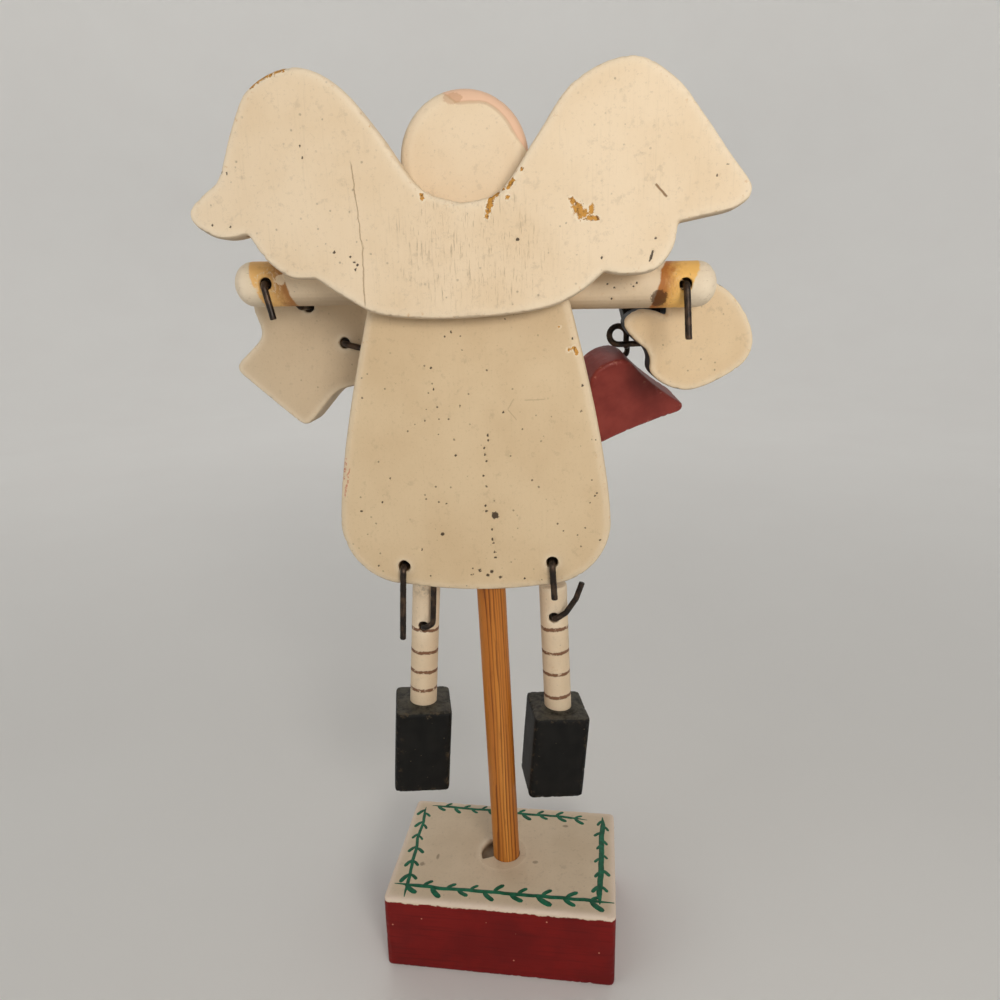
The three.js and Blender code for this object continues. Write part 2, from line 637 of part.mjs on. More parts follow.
const bellHang = new THREE.Group();
bellHang.position.set(BELL_HOLE[0], BELL_BACK, BELL_HOLE[1]);
bellHang.rotation.set(rad(-BELL_TILT), 0, rad(BELL_YAW), 'ZXY');
rightHand.add(bellHang);
const bell = piece(bellHang, 'bell_charm', bellCharm(), RED, 0.45);
bell.rotation.y = rad(BELL_ROLL);

// Ornament wire: hooked behind the right hand, through mitten and boot, round a pigtail, to the bell
function pointByBell(across, depth, up) {
  bellHang.updateMatrix();
  return new THREE.Vector3(across, -depth, up).applyMatrix4(bellHang.matrix).toArray();
}

function pigtail(start, end) {
  const points = [];
  for (let i = 0; i <= LOOP_STEPS; i += 1) {
    const share = i / LOOP_STEPS;
    const angle = start + (end - start) * share;
    points.push(new THREE.Vector3(
      LOOP_CENTRE[0] + LOOP_RADIUS * Math.cos(angle),
      LOOP_BACK - LOOP_PITCH * share,
      LOOP_CENTRE[1] + LOOP_RADIUS * Math.sin(angle),
    ));
  }
  return points;
}

const mittenGap = -behindHand - GLUE_GAP;
const inFrontOfBoot = BOOT_FRONT - WIRE_OFF;
const beforeLoop = bentStations([
  [ORNAMENT_HOOK_END[0], behindHand, ORNAMENT_HOOK_END[1]],
  [0, behindHand, 0],
  [0, mittenGap, 0],
  [MITTEN_HOLE[0], mittenGap, MITTEN_HOLE[1]],
  [MITTEN_HOLE[0], LOOP_BACK, MITTEN_HOLE[1]],
  [BOOT_HOLE[0], LOOP_BACK - GLUE_GAP, BOOT_HOLE[1]],
  [BOOT_HOLE[0], inFrontOfBoot, BOOT_HOLE[1]],
  [BOOT_UNDERPASS[0], inFrontOfBoot, BOOT_UNDERPASS[1]],
  [BOOT_UNDERPASS[0], LOOP_BACK, BOOT_UNDERPASS[1]],
  [LOOP_CENTRE[0], LOOP_BACK, LOOP_CENTRE[1] - LOOP_RADIUS],
]);
const loop = pigtail(-Math.PI / 2, Math.PI);
const beforeBell = CHARM_THICKNESS + WIRE_OFF;
const besideBell = pointByBell(BELL_SIDE[0], beforeBell, BELL_SIDE[1]);
const afterLoop = bentStations([
  loop.at(-1).toArray(),
  [LOOP_CENTRE[0] - LOOP_RADIUS, LOOP_BACK - LOOP_PITCH, BELL_OVERPASS],
  [besideBell[0], besideBell[1], BELL_OVERPASS],
  besideBell,
  pointByBell(0, beforeBell, 0),
  pointByBell(0, CHARM_THICKNESS - PEG_DEPTH, 0),
]);
const ornamentStations = [...beforeLoop.slice(0, -1), ...loop, ...afterLoop.slice(1)];
console.log(`pigtail gap to itself: ${selfGap(ornamentStations).toFixed(2)} mm`);
piece(rightHand, 'ornament_wire', wireTube(ornamentStations), WIRE_BLACK, 0.5, 0.8);

export default angel;
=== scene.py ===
# %% [markdown]
# # A painted wooden angel on a dowel stand
# The real thing is sawn from thin boards and cut from dowel, painted by hand, and strung
# together with bent black wire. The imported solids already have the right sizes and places,
# so this lesson gives each of them worn edges, brushed paint and the marks of age.

# %% Load the frame
import json
import math

import bmesh
import bpy
import numpy as np
from mathutils import Matrix, Vector, noise

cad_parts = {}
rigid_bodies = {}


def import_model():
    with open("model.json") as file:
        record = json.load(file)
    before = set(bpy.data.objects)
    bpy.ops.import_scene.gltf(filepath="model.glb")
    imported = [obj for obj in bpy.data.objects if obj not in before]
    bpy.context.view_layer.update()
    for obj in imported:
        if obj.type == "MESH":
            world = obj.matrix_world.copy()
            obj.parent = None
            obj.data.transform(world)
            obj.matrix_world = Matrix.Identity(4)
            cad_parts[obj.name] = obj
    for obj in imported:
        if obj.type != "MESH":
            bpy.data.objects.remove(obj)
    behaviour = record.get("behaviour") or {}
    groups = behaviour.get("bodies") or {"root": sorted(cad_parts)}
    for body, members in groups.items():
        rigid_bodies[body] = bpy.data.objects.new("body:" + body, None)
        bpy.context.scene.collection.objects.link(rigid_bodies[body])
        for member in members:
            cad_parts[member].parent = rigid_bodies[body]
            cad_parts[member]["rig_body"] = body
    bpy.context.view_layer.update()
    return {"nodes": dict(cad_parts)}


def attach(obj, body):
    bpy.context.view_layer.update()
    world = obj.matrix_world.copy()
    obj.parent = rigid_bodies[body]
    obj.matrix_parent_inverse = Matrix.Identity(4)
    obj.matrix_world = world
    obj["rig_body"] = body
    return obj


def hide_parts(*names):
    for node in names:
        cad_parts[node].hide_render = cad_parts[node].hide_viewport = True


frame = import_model()
MM = 0.001
print("solids:", sorted(frame["nodes"]))


def placed(name, data):
    """A new object at the origin of the scene."""
    made = bpy.data.objects.new(name, data)
    bpy.context.scene.collection.objects.link(made)
    return made


# %% [markdown]
# The angel stands turned a little on its base, so its own frame helps: x runs along the
# arms, y points out of the back, and z rises from the hem. Paint marks are placed in it.
# The post, the legs and the bell lean, so each has a frame too. Places are in millimetres.

# %% The angel's own frames
BASE_TOP = 19.0
FIGURE_TURN = 4
HEM_CENTRE = (4.635, 0, 91.3)
POST_LEAN = 1.85
LEFT_LEG_HOLE = (13.4, -5, -13.4)
LEFT_LEG_SPLAY = -4
RIGHT_LEG_HOLE = (-16.2, -5, -11)
RIGHT_LEG_SPLAY = 2.2
BELL_HOLE = (-32.7, -19.7, 40)
BELL_YAW, BELL_TIP, BELL_ROLL = 17, -19, 22.7


def turned(axis, degrees):
    return Matrix.Rotation(math.radians(degrees), 4, axis)


def moved(x, y, z):
    return Matrix.Translation(Vector((x, y, z)) * MM)


STAND = Matrix.Identity(4)
SWIVEL = turned("Z", FIGURE_TURN)
FIGURE = SWIVEL @ moved(*HEM_CENTRE)
POST = SWIVEL @ moved(0, 0, BASE_TOP) @ turned("Y", POST_LEAN)
LEG_LEFT = FIGURE @ moved(*LEFT_LEG_HOLE) @ turned("Y", LEFT_LEG_SPLAY)
LEG_RIGHT = FIGURE @ moved(*RIGHT_LEG_HOLE) @ turned("Y", RIGHT_LEG_SPLAY)
BELL = FIGURE @ moved(*BELL_HOLE) @ turned("Z", BELL_YAW) @ turned("X", BELL_TIP) @ turned("Y", BELL_ROLL)
print("hem at", tuple(round(v, 4) for v in FIGURE.translation))

# %% [markdown]
# The camera stands close behind the angel and looks slightly down. A short lens so near
# the object gives the strong perspective of the base.

# %% Camera
CAMERA_SPOT = Vector((-20.9, 152.0, 150.7)) * MM
CAMERA_YAW = math.radians(-7.80)
CAMERA_PITCH = math.radians(15.46)
CAMERA_ROLL = math.radians(-1.12)
LENS_MM = 26.99
SENSOR_MM = 36
NEAREST = 0.005


def camera_axes(yaw, pitch, roll):
    level = Vector((-math.sin(yaw), -math.cos(yaw), 0))
    right = Vector((-math.cos(yaw), math.sin(yaw), 0))
    up = Vector((0, 0, 1))
    ahead = level * math.cos(pitch) - up * math.sin(pitch)
    over = up * math.cos(pitch) + level * math.sin(pitch)
    side = right * math.cos(roll) + over * math.sin(roll)
    top = over * math.cos(roll) - right * math.sin(roll)
    return side, top, -ahead


camera_data = bpy.data.cameras.new("camera")
camera_data.lens = LENS_MM
camera_data.sensor_width = SENSOR_MM
camera_data.sensor_fit = "HORIZONTAL"
camera_data.clip_start = NEAREST
camera = placed("camera", camera_data)
axes = Matrix(camera_axes(CAMERA_YAW, CAMERA_PITCH, CAMERA_ROLL)).transposed()
camera.matrix_world = Matrix.Translation(CAMERA_SPOT) @ axes.to_4x4()
bpy.context.scene.camera = camera
print("camera at", tuple(round(v, 4) for v in CAMERA_SPOT))

# %% [markdown]
# A small soft lamp near the camera, a little up and to its right, lights the wings most and
# the base least. Wide lamps beside and beyond the angel and a pale sky keep the shadows
# open. The floor is a round sweep whose rim curves up into a wall, so that no horizon
# shows, and four lamps high over the angel face outwards and light that wall. Places here
# are in metres.

# %% Light
WARM, MILD = (1.0, 0.96, 0.90), (1.0, 0.98, 0.95)
COOL, WHITE = (0.97, 0.98, 1.0), (1, 1, 1)
SKY_TINT = (0.86, 0.88, 0.91, 1)
SKY_STRENGTH = 0.14
WALL_LAMPS = 4
WALL_LAMP_REACH, WALL_LAMP_HEIGHT = 0.4, 1.1
WALL_AIM_REACH, WALL_AIM_HEIGHT = 1.9, 0.65


def soft_lamp(name, spot, aim, size, watts, tint, spread=180):
    data = bpy.data.lights.new(name, "AREA")
    data.shape = "DISK"
    data.size = size
    data.energy = watts
    data.color = tint
    data.spread = math.radians(spread)
    lamp = placed(name, data)
    lamp.location = spot
    lamp.rotation_euler = (Vector(aim) - Vector(spot)).to_track_quat("-Z", "Y").to_euler()
    lamp.visible_camera = False


soft_lamp("key_lamp", (-0.15, 0.30, 0.22), (-0.01, 0, 0.19), size=0.12, watts=0.245, tint=WARM, spread=120)
soft_lamp("side_lamp", (0.40, 0.30, 0.30), (0, 0, 0.16), size=0.40, watts=0.07, tint=COOL, spread=100)
soft_lamp("front_lamp", (0.20, -0.80, 0.90), (0, 0, 0.14), size=0.80, watts=1.3, tint=MILD)
for turn in range(WALL_LAMPS):
    angle = 2 * math.pi * turn / WALL_LAMPS
    out = Vector((math.cos(angle), math.sin(angle), 0))
    lamp_spot = out * WALL_LAMP_REACH + Vector((0, 0, WALL_LAMP_HEIGHT))
    wall_spot = out * WALL_AIM_REACH + Vector((0, 0, WALL_AIM_HEIGHT))
    soft_lamp(f"wall_lamp_{turn}", lamp_spot, wall_spot, size=0.6, watts=3.3, tint=WHITE)

world = bpy.data.worlds.new("pale_room")
world.use_nodes = True
world.node_tree.nodes["Background"].inputs["Color"].default_value = SKY_TINT
world.node_tree.nodes["Background"].inputs["Strength"].default_value = SKY_STRENGTH
bpy.context.scene.world = world
bpy.context.scene.view_settings.view_transform = "Standard"
print("lamps:", len(bpy.data.lights))

# %% Floor
FLOOR_RINGS = (0.3, 0.6)
FLOOR_REACH = 0.9
SWEEP_ROUND = 0.6
SWEEP_STEPS = 12
SWEEP_SIDES = 96
WALL_TOP = 2.0


def floor_sweep():
    """A round floor with a rim that curves up into a wall."""
    bends = [math.pi / 2 * step / SWEEP_STEPS for step in range(SWEEP_STEPS + 1)]
    profile = [(reach, 0.0) for reach in FLOOR_RINGS]
    profile += [(FLOOR_REACH + SWEEP_ROUND * math.sin(b), SWEEP_ROUND * (1 - math.cos(b))) for b in bends]
    profile.append((FLOOR_REACH + SWEEP_ROUND, WALL_TOP))
    points = [(0, 0, 0)]
    for reach, height in profile:
        for side in range(SWEEP_SIDES):
            angle = 2 * math.pi * side / SWEEP_SIDES
            points.append((reach * math.cos(angle), reach * math.sin(angle), height))
    faces = []
    for side in range(SWEEP_SIDES):
        after = (side + 1) % SWEEP_SIDES
        faces.append((0, 1 + side, 1 + after))
        for ring in range(len(profile) - 1):
            inner, outer = 1 + ring * SWEEP_SIDES, 1 + (ring + 1) * SWEEP_SIDES
            faces.append((inner + side, outer + side, outer + after, inner + after))
    mesh = bpy.data.meshes.new("floor")
    mesh.from_pydata(points, [], faces)
    mesh.shade_smooth()
    return mesh


floor_mesh = floor_sweep()
floor = placed("floor", floor_mesh)
print("floor:", len(floor_mesh.polygons), "faces")

# %% [markdown]
# ## Writing finishes as sums
# Every finish is a small program for the surface. `Value` wraps a socket so that masks can
# be added and multiplied like numbers, and `Finish.node` makes any other node.

# %% Colours and sums


def linear(red, green, blue):
    """A colour picked on a screen, as the shader's linear light."""
    shares = [c / 255 for c in (red, green, blue)]
    return tuple(s / 12.92 if s <= 0.04045 else ((s + 0.055) / 1.055) ** 2.4 for s in shares) + (1,)


class Value:
    """A socket that can be added, subtracted and multiplied like a number."""

    def __init__(self, finish, socket):
        self.finish = finish
        self.socket = socket

    def math(self, operation, *others):
        return self.finish.node("ShaderNodeMath", {"operation": operation}, [self, *others])

    def __add__(self, other):
        return self.math("ADD", other)

    __radd__ = __add__

    def __mul__(self, other):
        return self.math("MULTIPLY", other)

    __rmul__ = __mul__

    def __sub__(self, other):
        return self.math("SUBTRACT", other)

    def __rsub__(self, other):
        return self.finish.node("ShaderNodeMath", {"operation": "SUBTRACT"}, [other, self])

    def __abs__(self):
        return self.math("ABSOLUTE")

    def most(self, other):
        return self.math("MAXIMUM", other)

    def fade(self, low, high):
        """0 at low, 1 at high, smooth between. A low above its high fades out."""
        flip = low > high
        sockets = {"Value": self, "From Min": min(low, high), "From Max": max(low, high)}
        sockets.update({"To Min": float(flip), "To Max": float(not flip)})
        return self.finish.node("ShaderNodeMapRange", {"interpolation_type": "SMOOTHSTEP"}, sockets)


# %% A finish
BUMP_STRENGTH = 0.6


class Finish:
    """One material, with its coordinates in millimetres in the frame of the piece."""

    def __init__(self, name, spot):
        self.material = bpy.data.materials.new(name)
        self.material.use_nodes = True
        self.tree = self.material.node_tree
        self.shader = self.tree.nodes["Principled BSDF"]
        place, turn, _ = spot.decompose()
        here = self.node("ShaderNodeTexCoord", {}, {}, "Object")
        sockets = {"Vector": here, "Location": place, "Rotation": turn.to_euler(), "Scale": (MM, MM, MM)}
        self.place = self.node("ShaderNodeMapping", {"vector_type": "TEXTURE"}, sockets)
        self.x, self.y, self.z = [
            self.node("ShaderNodeSeparateXYZ", {}, [self.place], axis) for axis in "XYZ"]

    def node(self, kind, settings, sockets, out=0):
        made = self.tree.nodes.new(kind)
        for key, setting in settings.items():
            setattr(made, key, setting)
        pairs = sockets.items() if isinstance(sockets, dict) else enumerate(sockets)
        for key, given in pairs:
            if isinstance(given, Value):
                self.tree.links.new(given.socket, made.inputs[key])
            else:
                made.inputs[key].default_value = given
        return Value(self, made.outputs[out])

    def grain(self, scale, detail=3.0, rough=0.55, stretch=(1, 1, 1)):
        """Smooth noise from 0 to 1. Scale is in cycles for each millimetre."""
        spread = self.node("ShaderNodeVectorMath", {"operation": "MULTIPLY"}, [self.place, stretch])
        sockets = {"Vector": spread, "Scale": scale, "Detail": detail, "Roughness": rough}
        return self.node("ShaderNodeTexNoise", {}, sockets)

    def dots(self, scale):
        """Distance to scattered points, about 0 to 1."""
        return self.node("ShaderNodeTexVoronoi", {}, {"Vector": self.place, "Scale": scale}, "Distance")

    def mark(self, name):
        """A number that the mesh carries at each point."""
        return self.node("ShaderNodeAttribute", {"attribute_name": name}, {}, "Fac")

    def mix(self, share, under, over):
        """The colour over, laid on the colour under where share is 1."""
        sockets = {"Factor": share, 6: under, 7: over}
        return self.node("ShaderNodeMix", {"data_type": "RGBA"}, sockets, 2)

    def reach(self, x, z, wide=1.0, tall=1.0):
        """Distance from a point of the x-z face, in units of wide and tall."""
        across, up = (self.x - x) * (1 / wide), (self.z - z) * (1 / tall)
        return (across * across + up * up).math("SQRT")

    def spot(self, x, z, wide, tall, rough=0.5):
        """A ragged patch on the x-z face, 1 inside and 0 outside."""
        ragged = (self.grain(1.6, 4.0, 0.7) - 0.5) * (2 * rough)
        return (self.reach(x, z, wide, tall) + ragged).fade(1.0, 0.8)

    def line(self, start, end, width, ragged=0.3):
        """A hair crack between two points of the x-z face."""
        (x0, z0), (x1, z1) = start, end
        length = math.hypot(x1 - x0, z1 - z0)
        along_x, along_z = (x1 - x0) / length, (z1 - z0) / length
        across, up = self.x - x0, self.z - z0
        along = across * along_x + up * along_z
        off = up * along_x - across * along_z + (self.grain(0.5, 3.0) - 0.5) * (2 * ragged)
        ends = along.fade(0, length * 0.1) * along.fade(length, length * 0.9)
        return abs(off).fade(width, width * 0.4) * ends

    def coat(self, colour, roughness, height, depth=0.06, shine=0.3):
        """Links the colour, the roughness and the bump to the shader."""
        bump = {"Height": height, "Strength": BUMP_STRENGTH, "Distance": depth * MM}
        bumped = self.node("ShaderNodeBump", {}, bump)
        for name, given in (("Base Color", colour), ("Roughness", roughness), ("Normal", bumped)):
            self.tree.links.new(given.socket, self.shader.inputs[name])
        self.shader.inputs["Specular IOR Level"].default_value = shine
        return self.material


floor_finish = Finish("pale_floor", STAND)
floor_tone = floor_finish.grain(0.01, 2.0)
floor_colour = floor_finish.mix(floor_tone, linear(240, 238, 235), linear(244, 243, 240))
floor_mesh.materials.append(floor_finish.coat(floor_colour, floor_tone * 0.1 + 0.7, floor_tone))
print("floor finish:", floor_finish.material.name)

# %% [markdown]
# ## Worn wood
# A sawn solid has perfect edges, and an old painted toy has none. Each solid is copied,
# remeshed finely and relaxed, and then its outer edges are rubbed down by an uneven amount.
# Every relaxing step is followed by a step outwards, so that the piece does not shrink.
# The mesh keeps numbers for the paint: `edge` on rims, `hollow` in holes, `up` for the
# slope, and `chip` and `pit` where paint is missing from the back.

# %% Mesh helpers
INWARD, OUTWARD = 0.5, -0.53
MERGE_GAP = 0.002


def neighbours(mesh):
    """Every edge of a mesh as two pairs of points, there and back."""
    pairs = np.empty(len(mesh.edges) * 2, np.int32)
    mesh.edges.foreach_get("vertices", pairs)
    pairs = pairs.reshape(-1, 2)
    return np.concatenate([pairs, pairs[:, ::-1]])


def relaxed(points, pairs, weights):
    """Moves every point towards the mean of its neighbours, or away where a weight is negative."""
    count = len(points)
    near = np.bincount(pairs[:, 0], minlength=count).clip(1)[:, None]
    for weight in weights:
        total = np.stack([np.bincount(pairs[:, 0], points[pairs[:, 1], k], count) for k in range(3)], 1)
        points = points + weight * (total / near - points)
    return points


def uneven(points, size, seed):
    """Noise from -1 to 1 with lumps of about that size in metres."""
    shift = Vector((seed * 7.1, seed * 3.3, seed * 5.7))
    return np.array([noise.noise(Vector(p) / size + shift) for p in points])


def numbers_of(mesh, name, width):
    """What a mesh stores at its points, in rows of that width."""
    held = np.empty(len(mesh.vertices) * width, np.float32)
    mesh.vertices.foreach_get(name, held)
    return held.reshape(-1, width).astype(float)


def remeshed(node, spot, fine):
    """A copy of a solid in the frame of its piece, with small even faces."""
    rough = frame["nodes"][node].data.copy()
    shell = bmesh.new()
    shell.from_mesh(rough)
    bmesh.ops.remove_doubles(shell, verts=shell.verts, dist=MERGE_GAP * MM)
    shell.to_mesh(rough)
    shell.free()
    rough.transform(spot.inverted())
    holder = placed("holder", rough)
    remesh = holder.modifiers.new("fine", "REMESH")
    remesh.mode = "VOXEL"
    remesh.voxel_size = fine * MM
    tight = bpy.context.evaluated_depsgraph_get()
    mesh = bpy.data.meshes.new_from_object(holder.evaluated_get(tight))
    bpy.data.objects.remove(holder)
    return mesh


# %% Marks on a back face
FACES_BACK = 0.2


def dot(x, z, reach, strength=1.0):
    """One round mark on the x-z face."""
    return [(x, z, x, z, reach, strength)]


def dots_at(places, reach, strength=1.0):
    """Round marks of one size."""
    return [mark for x, z in places for mark in dot(x, z, reach, strength)]


def streak(places, reach, strength=1.0):
    """Marks along a line of places on the x-z face."""
    return [(*a, *b, reach, strength) for a, b in zip(places, places[1:])]


def marked(points, normals, marks):
    """How deep each point lies in a mark of the back face: 0 outside, up to 1 in the middle."""
    level = np.zeros(len(points))
    for x0, z0, x1, z1, reach, strength in marks:
        along = np.array((x1 - x0, z1 - z0))
        offset = points[:, (0, 2)] / MM - np.array((x0, z0))
        share = np.clip(offset @ along / max(along @ along, 1e-9), 0, 1)
        gap = np.linalg.norm(offset - share[:, None] * along, axis=1)
        level = np.maximum(level, strength * (1 - gap / reach))
    return level * (normals[:, 1] > FACES_BACK)


# %% Wear down a copy of a solid
EDGE_REACH = 0.9
LEAST_ROUNDS = 8
FULL_EDGE, FULL_HOLLOW = 0.22, 0.15
LUMP_SIZE, NICK_SIZE, DENT_SIZE = 4 * MM, 1 * MM, 9 * MM
CHIP_DEPTH, PIT_DEPTH = 0.10, 0.16


def worn(node, spot, fine, rub, dent, seed, smooth=4, chips=(), pits=()):
    """A finely meshed, hand-worn copy of a solid, which it replaces. Sizes are in millimetres."""
    mesh = remeshed(node, spot, fine)
    pairs = neighbours(mesh)
    points = relaxed(numbers_of(mesh, "co", 3), pairs, [INWARD, OUTWARD] * smooth + [INWARD * 0.5])
    mesh.vertices.foreach_set("co", points.ravel())
    mesh.update()
    normals = numbers_of(mesh, "normal", 3)
    rounds = int(max(LEAST_ROUNDS, (EDGE_REACH / fine) ** 2 * 4))
    blurred = relaxed(points, pairs, [INWARD] * rounds)
    hump = ((points - blurred) * normals).sum(1) / MM
    edge = np.clip(hump / FULL_EDGE, 0, 1)
    hollow = np.clip(-hump / FULL_HOLLOW, 0, 1)
    chip = marked(points, normals, chips)
    pit = marked(points, normals, pits)
    lumps = 0.5 + 0.5 * uneven(points, LUMP_SIZE, seed)
    nicks = np.clip(uneven(points, NICK_SIZE, seed + 9) * 2.4 - 0.5, 0, 1)
    sunk = edge * (0.3 * lumps + 0.7 * nicks) * rub
    sunk += np.abs(uneven(points, DENT_SIZE, seed + 4)) * dent * (1 - edge)
    sunk += CHIP_DEPTH * np.clip(chip * 2, 0, 1) + PIT_DEPTH * np.clip(pit * 1.5, 0, 1)
    points = points - normals * (sunk * MM)[:, None]
    mesh.vertices.foreach_set("co", points.ravel())
    numbers = {"edge": edge, "hollow": hollow, "up": normals[:, 2], "chip": chip, "pit": pit}
    for name, held in numbers.items():
        mesh.attributes.new(name, "FLOAT", "POINT").data.foreach_set("value", held.astype(np.float32))
    mesh.transform(spot)
    mesh.shade_smooth()
    mesh.materials.clear()

    piece = placed(f"{node}_worn", mesh)
    body = frame["nodes"][node]["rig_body"]
    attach(piece, body)
    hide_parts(node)
    print(f"{piece.name}: {len(points)} points on {body}")
    return piece


def dress_in(piece, material):
    piece.data.materials.append(material)


# %% [markdown]
# Paint and glue also fill the gap round a dowel where it enters a block. A fillet is a
# closed ring whose outer side and top follow a rule of the angle round the dowel.

# %% Ring of filler round a dowel
FILLET_SIDES = 120
FILLET_LIP, FILLET_DROP = 0.8, 0.2


def fillet(name, spot, node, inner, outer, top, low):
    """A ring between two outlines, which rides with a node. Sizes are in millimetres."""
    points, faces = [], []
    for side in range(FILLET_SIDES):
        angle = 2 * math.pi * side / FILLET_SIDES
        far, high = outer(angle), top(angle)
        lip = far + FILLET_LIP
        profile = [(inner, high), (far, high), (lip, high - FILLET_DROP), (lip, low), (inner, low)]
        for reach, height in profile:
            points.append(spot @ (Vector((reach * math.cos(angle), reach * math.sin(angle), height)) * MM))
        corners = len(profile)
        here, after = side * corners, (side + 1) % FILLET_SIDES * corners
        for corner in range(corners):
            following = (corner + 1) % corners
            faces.append((here + corner, here + following, after + following, after + corner))
    mesh = bpy.data.meshes.new(name)
    mesh.from_pydata(points, [], faces)
    shell = bmesh.new()
    shell.from_mesh(mesh)
    bmesh.ops.recalc_face_normals(shell, faces=shell.faces)
    shell.to_mesh(mesh)
    shell.free()
    facing_up = np.ones(len(points), np.float32)
    mesh.attributes.new("up", "FLOAT", "POINT").data.foreach_set("value", facing_up)
    piece = placed(name, mesh)
    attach(piece, frame["nodes"][node]["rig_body"])
    print(f"{name}: {len(faces)} faces")
    return piece


# %% [markdown]
# ## Cream paint
# Most of the angel has one thick coat of warm white, brushed on along the grain. Up close
# it is a little sandy, with fine brush lines, soot in the pores, and golden wood where the
# paint has flaked. One function makes that coat, and each piece brings its own marks.

# %% The cream coat
CREAM = linear(240, 218, 187)
CREAM_AGED = linear(229, 203, 167)
# Fresh cream, also used as the painted highlight on rims
CREAM_FRESH_AND_HIGHLIGHT = linear(250, 236, 212)
SOOT = linear(88, 66, 42)
PIT_BROWN = linear(44, 25, 9)
BARE_WOOD = linear(204, 146, 60)
BARE_WOOD_DARK = linear(120, 78, 28)
# Painted shade on surfaces that face down
UNDER_SHADE = linear(120, 92, 62)


def cream_coat(finish, light=CREAM, aged=CREAM_AGED, brush=0.5, specks=0.5):
    """The colour, roughness and height of a brushed, aged cream coat."""
    # Clouds of ageing, and soot in the sand, the lumps and the brush lines
    clouds = finish.grain(0.06, 4.0).fade(0.3, 0.75)
    streaks = finish.grain(1.0, 5.0, 0.65, (2.4, 2.4, 0.10))
    fine = finish.grain(3.0, 3.0, 0.6, (1, 1, 0.4))
    sand = finish.grain(1.8, 5.0, 0.75)
    lumps = finish.grain(0.5, 5.0, 0.65)
    colour = finish.mix(clouds * 0.75, light, aged)
    colour = finish.mix(sand.fade(0.54, 0.74) * 0.20, colour, SOOT)
    colour = finish.mix(lumps.fade(0.58, 0.70) * 0.12, colour, SOOT)
    colour = finish.mix(streaks.fade(0.54, 0.72) * (0.10 * brush), colour, SOOT)
    # Dark specks, in some places only
    patchy = finish.grain(0.09, 3.0).fade(0.38, 0.58)
    speck = (finish.dots(0.5) + (sand - 0.5) * 0.24).fade(0.12, 0.07) * patchy
    colour = finish.mix(speck * specks, colour, PIT_BROWN)
    # A painted highlight on the rims, rubbed rims, painted shade on the undersides, and bare wood in the
    # holes, darkened there as painted shade
    rims = finish.mark("edge") * finish.grain(1.1, 4.0, 0.7).fade(0.60, 0.70)
    colour = finish.mix(finish.mark("edge") * 0.4, colour, CREAM_FRESH_AND_HIGHLIGHT)
    colour = finish.mix(rims * 0.5, colour, BARE_WOOD)
    colour = finish.mix(finish.mark("up").fade(-0.35, -0.9) * 0.45, colour, UNDER_SHADE)
    colour = finish.mix(finish.mark("hollow").fade(0.15, 0.9) * 0.8, colour, BARE_WOOD_DARK)
    # Pinholes, and flakes down to golden wood with a fresh edge
    pit = (finish.mark("pit") + (finish.grain(1.9, 4.0, 0.7) - 0.5) * 0.8).fade(0.42, 0.55)
    colour = finish.mix(pit * 0.9, colour, PIT_BROWN)
    level = finish.mark("chip")
    bare = (level + (finish.grain(1.7, 5.0, 0.8) - 0.5) * 2.2).fade(0.46, 0.54) * level.fade(0.02, 0.10)
    wood = finish.mix(finish.grain(1.6, 4.0, 0.7).fade(0.50, 0.64), BARE_WOOD, BARE_WOOD_DARK)
    colour = finish.mix(level.fade(0.05, 0.4) * 0.45, colour, CREAM_FRESH_AND_HIGHLIGHT)
    colour = finish.mix(bare, colour, wood)
    roughness = fine * 0.18 + streaks * 0.12 + 0.42
    height = streaks * (0.5 * brush) + fine * 0.3 + sand * 0.4 + lumps * 0.9
    height = height - speck * 0.6 - rims * 0.5 - bare
    return colour, roughness, height


# %% [markdown]
# ## Base block
# The block has dark red sides and a cream top whose paint laps unevenly over the upper
# edge. The top's own rim is painted paler as a highlight. Old filler closes the post's hole
# on most sides and leaves a shallow crescent open on the left, painted darker where it is
# deeper as shade.

# %% Base block
# The reds are darker than the paint alone, partly as painted shade for the low light on the base
RED = linear(126, 17, 13)
RED_DEEP = linear(110, 13, 11)
RED_DARK = linear(84, 11, 9)
WELL_REACH = 9.0
SMUDGES = [
    # x, y, width, depth
    (16.4, 3.2, 0.5, 1.2), (19.6, 5.9, 0.9, 0.9), (-7.2, 2.5, 0.8, 0.7), (-13.8, -10.9, 1.0, 0.6)]

base = worn("base_block", STAND, 0.36, rub=0.25, dent=0.05, seed=3, smooth=3)
base_finish = Finish("base_paint", STAND)
# The top's cream is darker than the angel's, partly as painted shade for the low light on the base
top_colour, _, top_height = cream_coat(
    base_finish, linear(222, 201, 173), linear(204, 181, 151), 0.2, 0.2)
for x, y, wide, deep in SMUDGES:
    across, along = (base_finish.x - x) * (1 / wide), (base_finish.y - y) * (1 / deep)
    smudge = (across * across + along * along + base_finish.grain(1.5, 4.0, 0.7) * 1.6).fade(1.7, 0.9)
    top_colour = base_finish.mix(smudge * 0.5, top_colour, SOOT)
from_post = (base_finish.x * base_finish.x + base_finish.y * base_finish.y).math("SQRT")
well = from_post.fade(WELL_REACH, WELL_REACH - 1)
